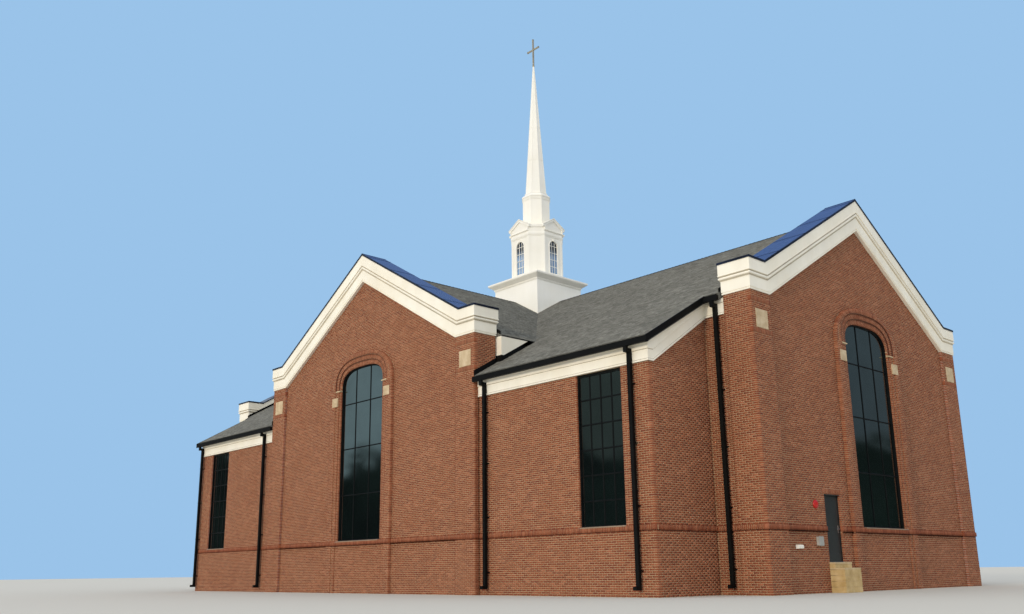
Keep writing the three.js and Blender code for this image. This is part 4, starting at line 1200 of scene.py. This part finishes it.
def steepleDress():
    s = steeple
    trim = Shape().sweeps(belfryBands, around(belfryRing), loop=True)
    for first in (1, 3, 5, 7):  # round the cut corners only
        trim.sweeps(cornerBands, lambda out, z: [(*belfryRing(out)[i % 8], z) for i in (first, first + 1)])
    trim.sweeps(squareBands, around(square), loop=True)
    rings = [[(half - 0.06, low), (half + 0.018, low), (half + 0.018, high - 0.015), (half - 0.002, high),
              (half - 0.06, high)]
             for half, low, high in s.rings]
    for z in s.lengths:  # joints of the spire's lengths
        share = (z - s.spireFoot) / (s.spireTip - s.spireFoot)
        half = s.spireHalf + share * (s.tipHalf - s.spireHalf)
        rings.append([(half - 0.02, z), (half + 0.006, z + 0.004), (half + 0.005, z + 0.026),
                      (half - 0.02, z + 0.03)])
    trim.sweeps(rings, around(evenRing), loop=True)
    belfry, drum = belfryRing(0), evenRing(s.drumHalf)
    plans = {"belfry": (belfry, belfry), "drum": (drum, drum),
             "spire": (evenRing(s.spireHalf), evenRing(s.tipHalf))}
    for part, (low, high, wide, out) in s.boards.items():
        bottom, top = plans[part]
        cornerBoards(trim, (bottom, low), (top, high), wide, out)
    trim.piece("steeple_mouldings", "steeple", "steeple_white")
    for number, turn in enumerate((0, 90, 180, 270)):
        belfryFace(number + 1, turn)
    skirt = Shape()
    half, low = church.steepleHalf, roofAt(church.steepleHalf)
    for turn in (0, 90, 180, 270):
        strip = Shape()
        line = [(-half - s.skirtPast, low), (0, church.ridge), (half + s.skirtPast, low)]
        strip.prism(band(line, s.skirtLow, s.skirtHigh), -half - s.skirtOut, -half + s.skirtIn)
        skirt.add(placed(strip.corners, turn).tolist(), strip.faces)
    skirt.piece("steeple_flashing", "steeple", "steeple_white", bevel=0.002)
    collar = Shape()
    ring = np.linspace(0, 2 * np.pi, 24, endpoint=False)
    collar.sweep(s.collar, lambda r, z: [(r * math.cos(t), r * math.sin(t), z) for t in ring], loop=True)
    for x, z, wide, high in s.crossEnds:
        collar.box((x - wide, -s.crossDeep, z - high), (x + wide, s.crossDeep, z + high))
    collar.piece("cross_collar", "bronze", "cross_metal", smooth=True, bevel=0.003)


# Side door and what hangs beside it, made on the east gable: u runs along the wall, y out of it
leaf = Values(u0=-3.807, u1=-2.953, z0=0.948, z1=3.027, face=-16.870, stile=0.11,
              rails=((2.907, 3.027), (1.90, 2.04), (0.948, 1.208)), lockIn=0.065,
              plateHalf=0.028, plateZ=(1.86, 2.10), leverZ=1.99, cylinderZ=1.905)
screw = [(0.0005, -0.002), (0.005, -0.002), (0.005, 0.0008), (0.0005, 0.0016)]
rose = [(0.0005, -0.002), (0.018, -0.002), (0.018, 0.010), (0.012, 0.040), (0.0005, 0.040)]
cylinder = [(0.0005, -0.002), (0.014, -0.002), (0.014, 0.006), (0.0005, 0.009)]
boxLock = [(0.0005, -0.002), (0.011, -0.002), (0.011, 0.005), (0.0005, 0.007)]
lever = Values(half=0.009, line=((0.006, -0.050, 1.99, 1), (-0.085, -0.052, 1.988, 1),
                                 (-0.110, -0.044, 1.986, 0.9), (-0.118, -0.028, 1.985, 0.7)))
threshold = Values(low=(-3.858, -16.946, 0.9405), high=(-2.902, -16.765, 0.9465), ribs=5, ribAt=-16.93,
                   apart=0.03, ribWide=0.008, ribEnds=(-3.85, -2.91), ribTop=0.9490)
doorHead = Values(low=(-3.86, -16.957, 3.058), high=(-2.90, -16.875, 3.078), seals=(-3.8585, -2.9195),
                  sealWide=0.018, sealY=(-16.885, -16.872), sealZ=(0.95, 3.075))
fixture = Values(plane=-16.955, bell=(-4.45, 2.73), mountHalf=0.055, lamp=(-5.81, -5.51, 1.34, 1.46),
                 ribs=6, box=(-4.56, -4.29, 1.45, 1.72), lockUp=0.04)


def disc(shape, u, z, y, section, steps=28):
    ring = np.linspace(0, 2 * np.pi, steps, endpoint=False)
    shape.sweep(section, lambda r, out: [
        (u + r * math.cos(t), y - out, z + r * math.sin(t)) for t in ring], loop=True)


def doorDress():
    u0, u1, z0, z1, face = leaf.u0, leaf.u1, leaf.z0, leaf.z1, leaf.face
    skin, kick, plate, still, head = (Shape() for _ in range(5))
    a, b = u0 + leaf.stile, u1 - leaf.stile
    stiles = [(u0, a, z0, z1), (b, u1, z0, z1)]
    for left, right, low, high in stiles + [(a, b, *rail) for rail in leaf.rails]:
        skin.box((left, face + 0.004, low), (right, face - 0.005, high))
    skin.piece("door_rails", "doorPaint", "door_leaf", 90, body="east_door", bevel=0.003)
    kick.box((u0 + 0.02, face - 0.002, z0 + 0.012), (u1 - 0.02, face - 0.0075, z0 + 0.245))
    for u in (u0 + 0.04, u1 - 0.04):
        for z in (z0 + 0.03, z0 + 0.228):
            disc(kick, u, z, face - 0.0075, screw, 12)
    kick.piece("door_kick_plate", "doorPaint", "door_leaf", 90, body="east_door", bevel=0.0015)
    lock = u1 - leaf.lockIn
    low, high = leaf.plateZ
    plate.box((lock - leaf.plateHalf, face - 0.001, low), (lock + leaf.plateHalf, face - 0.012, high))
    disc(plate, lock, leaf.leverZ, face - 0.011, rose, 20)
    disc(plate, lock, leaf.cylinderZ, face - 0.011, cylinder, 20)
    ring = np.linspace(0, 2 * np.pi, 14, endpoint=False)
    plate.sweep([(lever.half * math.cos(t), lever.half * math.sin(t)) for t in ring], lambda p, q: [
        (lock + u, face + y + p * size, z + q * size) for u, y, z, size in lever.line])
    plate.piece("door_lever", "steel", "door_leaf", 90, body="east_door", bevel=0.0015)
    still.box(threshold.low, threshold.high)
    left, right = threshold.ribEnds
    for k in range(threshold.ribs):
        y = threshold.ribAt + k * threshold.apart
        still.box((left, y, threshold.high[2]), (right, y + threshold.ribWide, threshold.ribTop))
    still.piece("door_threshold", "steel", "door_frame", 90, bevel=0.001)
    head.box(doorHead.low, doorHead.high)
    (y0, y1), (low, high) = doorHead.sealY, doorHead.sealZ
    for u in doorHead.seals:
        head.box((u, y0, low), (u + doorHead.sealWide, y1, high))
    head.piece("door_drip_and_seal", "doorPaint", "door_frame", 90, bevel=0.002)


# Steps of cut stone: blocks with staggered joints under tread slabs, over a core of mortar
steps = Values(
    side=(-3.90, -2.86), wall=-16.95, lower=-17.45, upper=-17.15, lowTop=0.76, highTop=0.93,
    slab=0.05, over=0.010, joint=0.008, courses=4, inset=0.006, bevel=0.006,
)


def doorSteps():
    s = steps
    (u0, u1), joint, back, over, inset = s.side, s.joint, s.wall, s.over, s.inset
    blocks, treads, core = Shape(), Shape(), Shape()
    high = s.lowTop - s.slab
    for row in range(s.courses):
        foot, head = high * row / s.courses, high * (row + 1) / s.courses - joint
        cuts = (0, 0.5, 1) if row % 2 else (0, 0.25, 0.75, 1)
        for a, b in zip(cuts[:-1], cuts[1:]):
            left = u0 + (u1 - u0) * a + (joint / 2 if a else 0)
            right = u0 + (u1 - u0) * b - (joint / 2 if b < 1 else 0)
            blocks.box((left, s.lower, foot), (right, back, head))
    foot, head, middle = s.lowTop + 0.002, s.highTop - s.slab - joint, (u0 + u1) / 2
    blocks.box((u0, s.upper, foot), (middle - joint / 2, back, head))
    blocks.box((middle + joint / 2, s.upper, foot), (u1, back, head))
    laid = blocks.piece("door_step_blocks", "step", "step_stone", 90, bevel=s.bevel)
    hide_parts("east_door_steps")
    for front, reach, top in ((s.lower, 0, s.lowTop), (s.upper, over, s.highTop)):
        treads.box((u0 - over, front - reach, top - s.slab), (u1 + over, back, top))
        core.box((u0 + inset, front + inset, 0), (u1 - inset, back, top - inset))
    treads.piece("door_step_treads", "tread", "step_stone", 90, bevel=s.bevel)
    core.piece("door_step_joints", "mortar", "step_stone", 90)


def fixtures():
    y, (u, z) = fixture.plane, fixture.bell
    bell, base, lamp = Shape(), Shape(), Shape()
    disc(bell, u, z, y, [(0.0005, -0.004), (0.140, -0.004), (0.140, 0.014), (0.134, 0.030), (0.112, 0.052),
                         (0.070, 0.068), (0.026, 0.074), (0.020, 0.084), (0.0005, 0.086)], 40)
    bell.piece("wall_bell", "redEnamel", "white_trim", 90, smooth=True)
    u0, u1, z0, z1 = fixture.box
    half = fixture.mountHalf
    base.box((u - half, y + 0.002, z - half), (u + half, y - 0.010, z + half))
    for grow, low, high in ((0, 0.002, -0.085), (0.008, -0.085, -0.098), (-0.02, -0.098, -0.101)):
        base.box((u0 - grow, y + low, z0 - grow), (u1 + grow, y + high, z1 + grow))
    disc(base, (u0 + u1) / 2, z0 + fixture.lockUp, y - 0.100, boxLock, 16)
    base.piece("wall_box", "cabinet", "white_trim", 90, bevel=0.003)
    u0, u1, z0, z1 = fixture.lamp
    lamp.box((u0, y + 0.002, z0), (u1, y - 0.03, z1))
    high = z1 - z0
    section = [(0.0, -0.028), (0.0, -0.075), (0.012, -0.100), (0.030, -0.112), (high - 0.03, -0.112),
               (high - 0.012, -0.100), (high, -0.075), (high, -0.028)]
    lamp.beam([(y + out, z0 + up) for up, out in section], u0 + 0.012, u1 - 0.012)
    for k in range(1, fixture.ribs):
        at = u0 + (u1 - u0) * k / fixture.ribs
        lamp.box((at - 0.002, y - 0.028, z0 + 0.004), (at + 0.002, y - 0.1145, z1 - 0.004))
    lamp.piece("wall_lamp", "lens", "white_trim", 90, bevel=0.002)


tabs = 0
for number, (name, flips) in enumerate(quarters.items()):
    tabs += roofDress(name, flips, 51 + number)
    for dressWing in (wingFrame, wingFrieze, wingFlashing, gutterDress):
        dressWing(name, flips)
print("roofs:", tabs, "tabs")
for side in sides:
    for dressGable in (gableStones, gableFrame, gableCornice, ridgeLine, gableFlashing):
        dressGable(side)
steepleDress()
print("gables and steeple dressed")
doorDress()
doorSteps()
fixtures()
print("door and fixtures dressed")


# Dress of the frame's own pieces
dress = {
    "gable_wall": "mortar", "wing_wall": "mortar",
    "cornice": "white", "coping": "coping", "wing_frieze": "white", "wing_gutter": "black",
    "floor_slab": "concrete", "door_frame": "doorPaint", "door_leaf": "doorPaint", "door_steps": "step",
    "steeple_base": "steepleBase", "belfry_walls": "steeple", "belfry_pediments": "steeple",
    "steeple_drum": "steeple", "steeple_spire": "steeple", "steeple_cross": "bronze",
    "roof": "roofDeck", "belfry_windows": "belfryGlass", "window": "glass",
}
softened = {"cornice": 0.004, "door_steps": 0.012, "steeple_base": 0.006, "belfry_pediments": 0.005,
            "steeple_drum": 0.005, "steeple_cross": 0.006}
for name, node in cad.items():
    node.data.materials.clear()
    node.data.materials.append(skins[next(skin for part, skin in dress.items() if part in name)])
    for part, width in softened.items():
        if part in name:
            soften(node, width)

stage = Values(
    floor=400.0, floorAt=-0.002, floorShades="cfcabf cfcabf", floorScale=6.0, floorRough=0.9,
    backdrop="9ac3e9", sky="dde5ef", dim="cfd3d6", skyFrom=-0.6, skyTo=0.8,
    skyPower=1.33, sunPower=1.28, sunShade="fff0d8", sunSize=9.0, sunFrom=(0.13, -0.92, 0.21),
)
# What glass and metal mirror: a dark ragged horizon, a paler one over it toward the south-west,
# and a sky that is bright in the west and deep blue in the north-east
mirrored = Values(
    dark="0c110e 26312a", darkScale=22.0, top=0.125, ragged=0.045, ragScale=9.0, pale="5c5e57",
    soft=(-0.004, 0.010), rise=0.16, riseWay=(-0.64, -0.77, 0.0), riseFrom=0.957, riseTo=0.972,
    low="5f666a b0b8b8", brightWay=(-0.836, -0.549, 0.0), brightFrom=-0.9, brightTo=0.95,
    high="6486c4", highFrom=0.28, highTo=0.55,
)


def setStage():
    scene, m = bpy.context.scene, mirrored
    scene.view_settings.view_transform = "Standard"
    mesh = bpy.data.meshes.new("floor")
    mesh.from_pydata([(x, y, stage.floorAt) for x, y in square(stage.floor)], [], [(0, 1, 2, 3)])
    floor = bpy.data.objects.new("floor", mesh)
    scene.collection.objects.link(floor)
    material, tree, place = newFinish("floor", shine=0.2)
    fine = grain(tree, place, stage.floorScale)
    grey = shaded(tree, ramp(tree, ranged(tree, fine), stage.floorShades), ranged(tree, fine, 0.98, 1.0))
    inputs = tree.nodes["Principled BSDF"].inputs
    tree.links.new(grey, inputs["Base Color"])
    inputs["Roughness"].default_value = stage.floorRough
    mesh.materials.append(material)

    world = bpy.data.worlds.new("world")
    scene.world = world
    world.use_nodes = True
    tree = world.node_tree
    background = tree.nodes["Background"]
    way = put(tree, "ShaderNodeTexCoord", take="Generated")
    toSun = Vector(stage.sunFrom).normalized()

    def toward(direction, low, high):
        return ranged(tree, dot(tree, way, direction), 0.0, 1.0, low, high)

    def over(height, below, above):
        return mixed(tree, ranged(tree, height, 0.0, 1.0, *m.soft), below, above)

    sunward = toward(tuple(toSun), stage.skyFrom, stage.skyTo)
    light = mixed(tree, sunward, tint(stage.dim), tint(stage.sky))
    height = put(tree, "ShaderNodeSeparateXYZ", {0: way}, "Z")
    heaven = ramp(tree, toward(m.brightWay, m.brightFrom, m.brightTo), m.low)
    heaven = mixed(tree, ranged(tree, height, 0.0, 1.0, m.highFrom, m.highTo), heaven, tint(m.high))
    ragged = grain(tree, way, m.ragScale, detail=7.0, rough=0.65)
    darkTop = calc(tree, "ADD", ranged(tree, ragged, -m.ragged, m.ragged), m.top)
    rise = calc(tree, "MULTIPLY", toward(m.riseWay, m.riseFrom, m.riseTo), m.rise)
    overPale = calc(tree, "SUBTRACT", height, calc(tree, "ADD", darkTop, rise))
    horizon = ramp(tree, ranged(tree, grain(tree, way, m.darkScale, detail=5.0)), m.dark)
    horizon = over(calc(tree, "SUBTRACT", height, darkTop), horizon, tint(m.pale))
    rays = put(tree, "ShaderNodeLightPath").node.outputs
    light = mixed(tree, rays["Is Glossy Ray"], light, over(overPale, horizon, heaven))
    seen = rays["Is Camera Ray"]
    tree.links.new(mixed(tree, seen, light, tint(stage.backdrop)), background.inputs["Color"])
    strength = calc(tree, "ADD", calc(tree, "MULTIPLY", seen, 1.0 - stage.skyPower), stage.skyPower)
    tree.links.new(strength, background.inputs["Strength"])

    data = bpy.data.lights.new("sun", "SUN")
    data.energy, data.angle = stage.sunPower, math.radians(stage.sunSize)
    data.color = tint(stage.sunShade)[:3]
    sun = bpy.data.objects.new("sun", data)
    scene.collection.objects.link(sun)
    sun.rotation_euler = toSun.to_track_quat("Z", "Y").to_euler()


setStage()
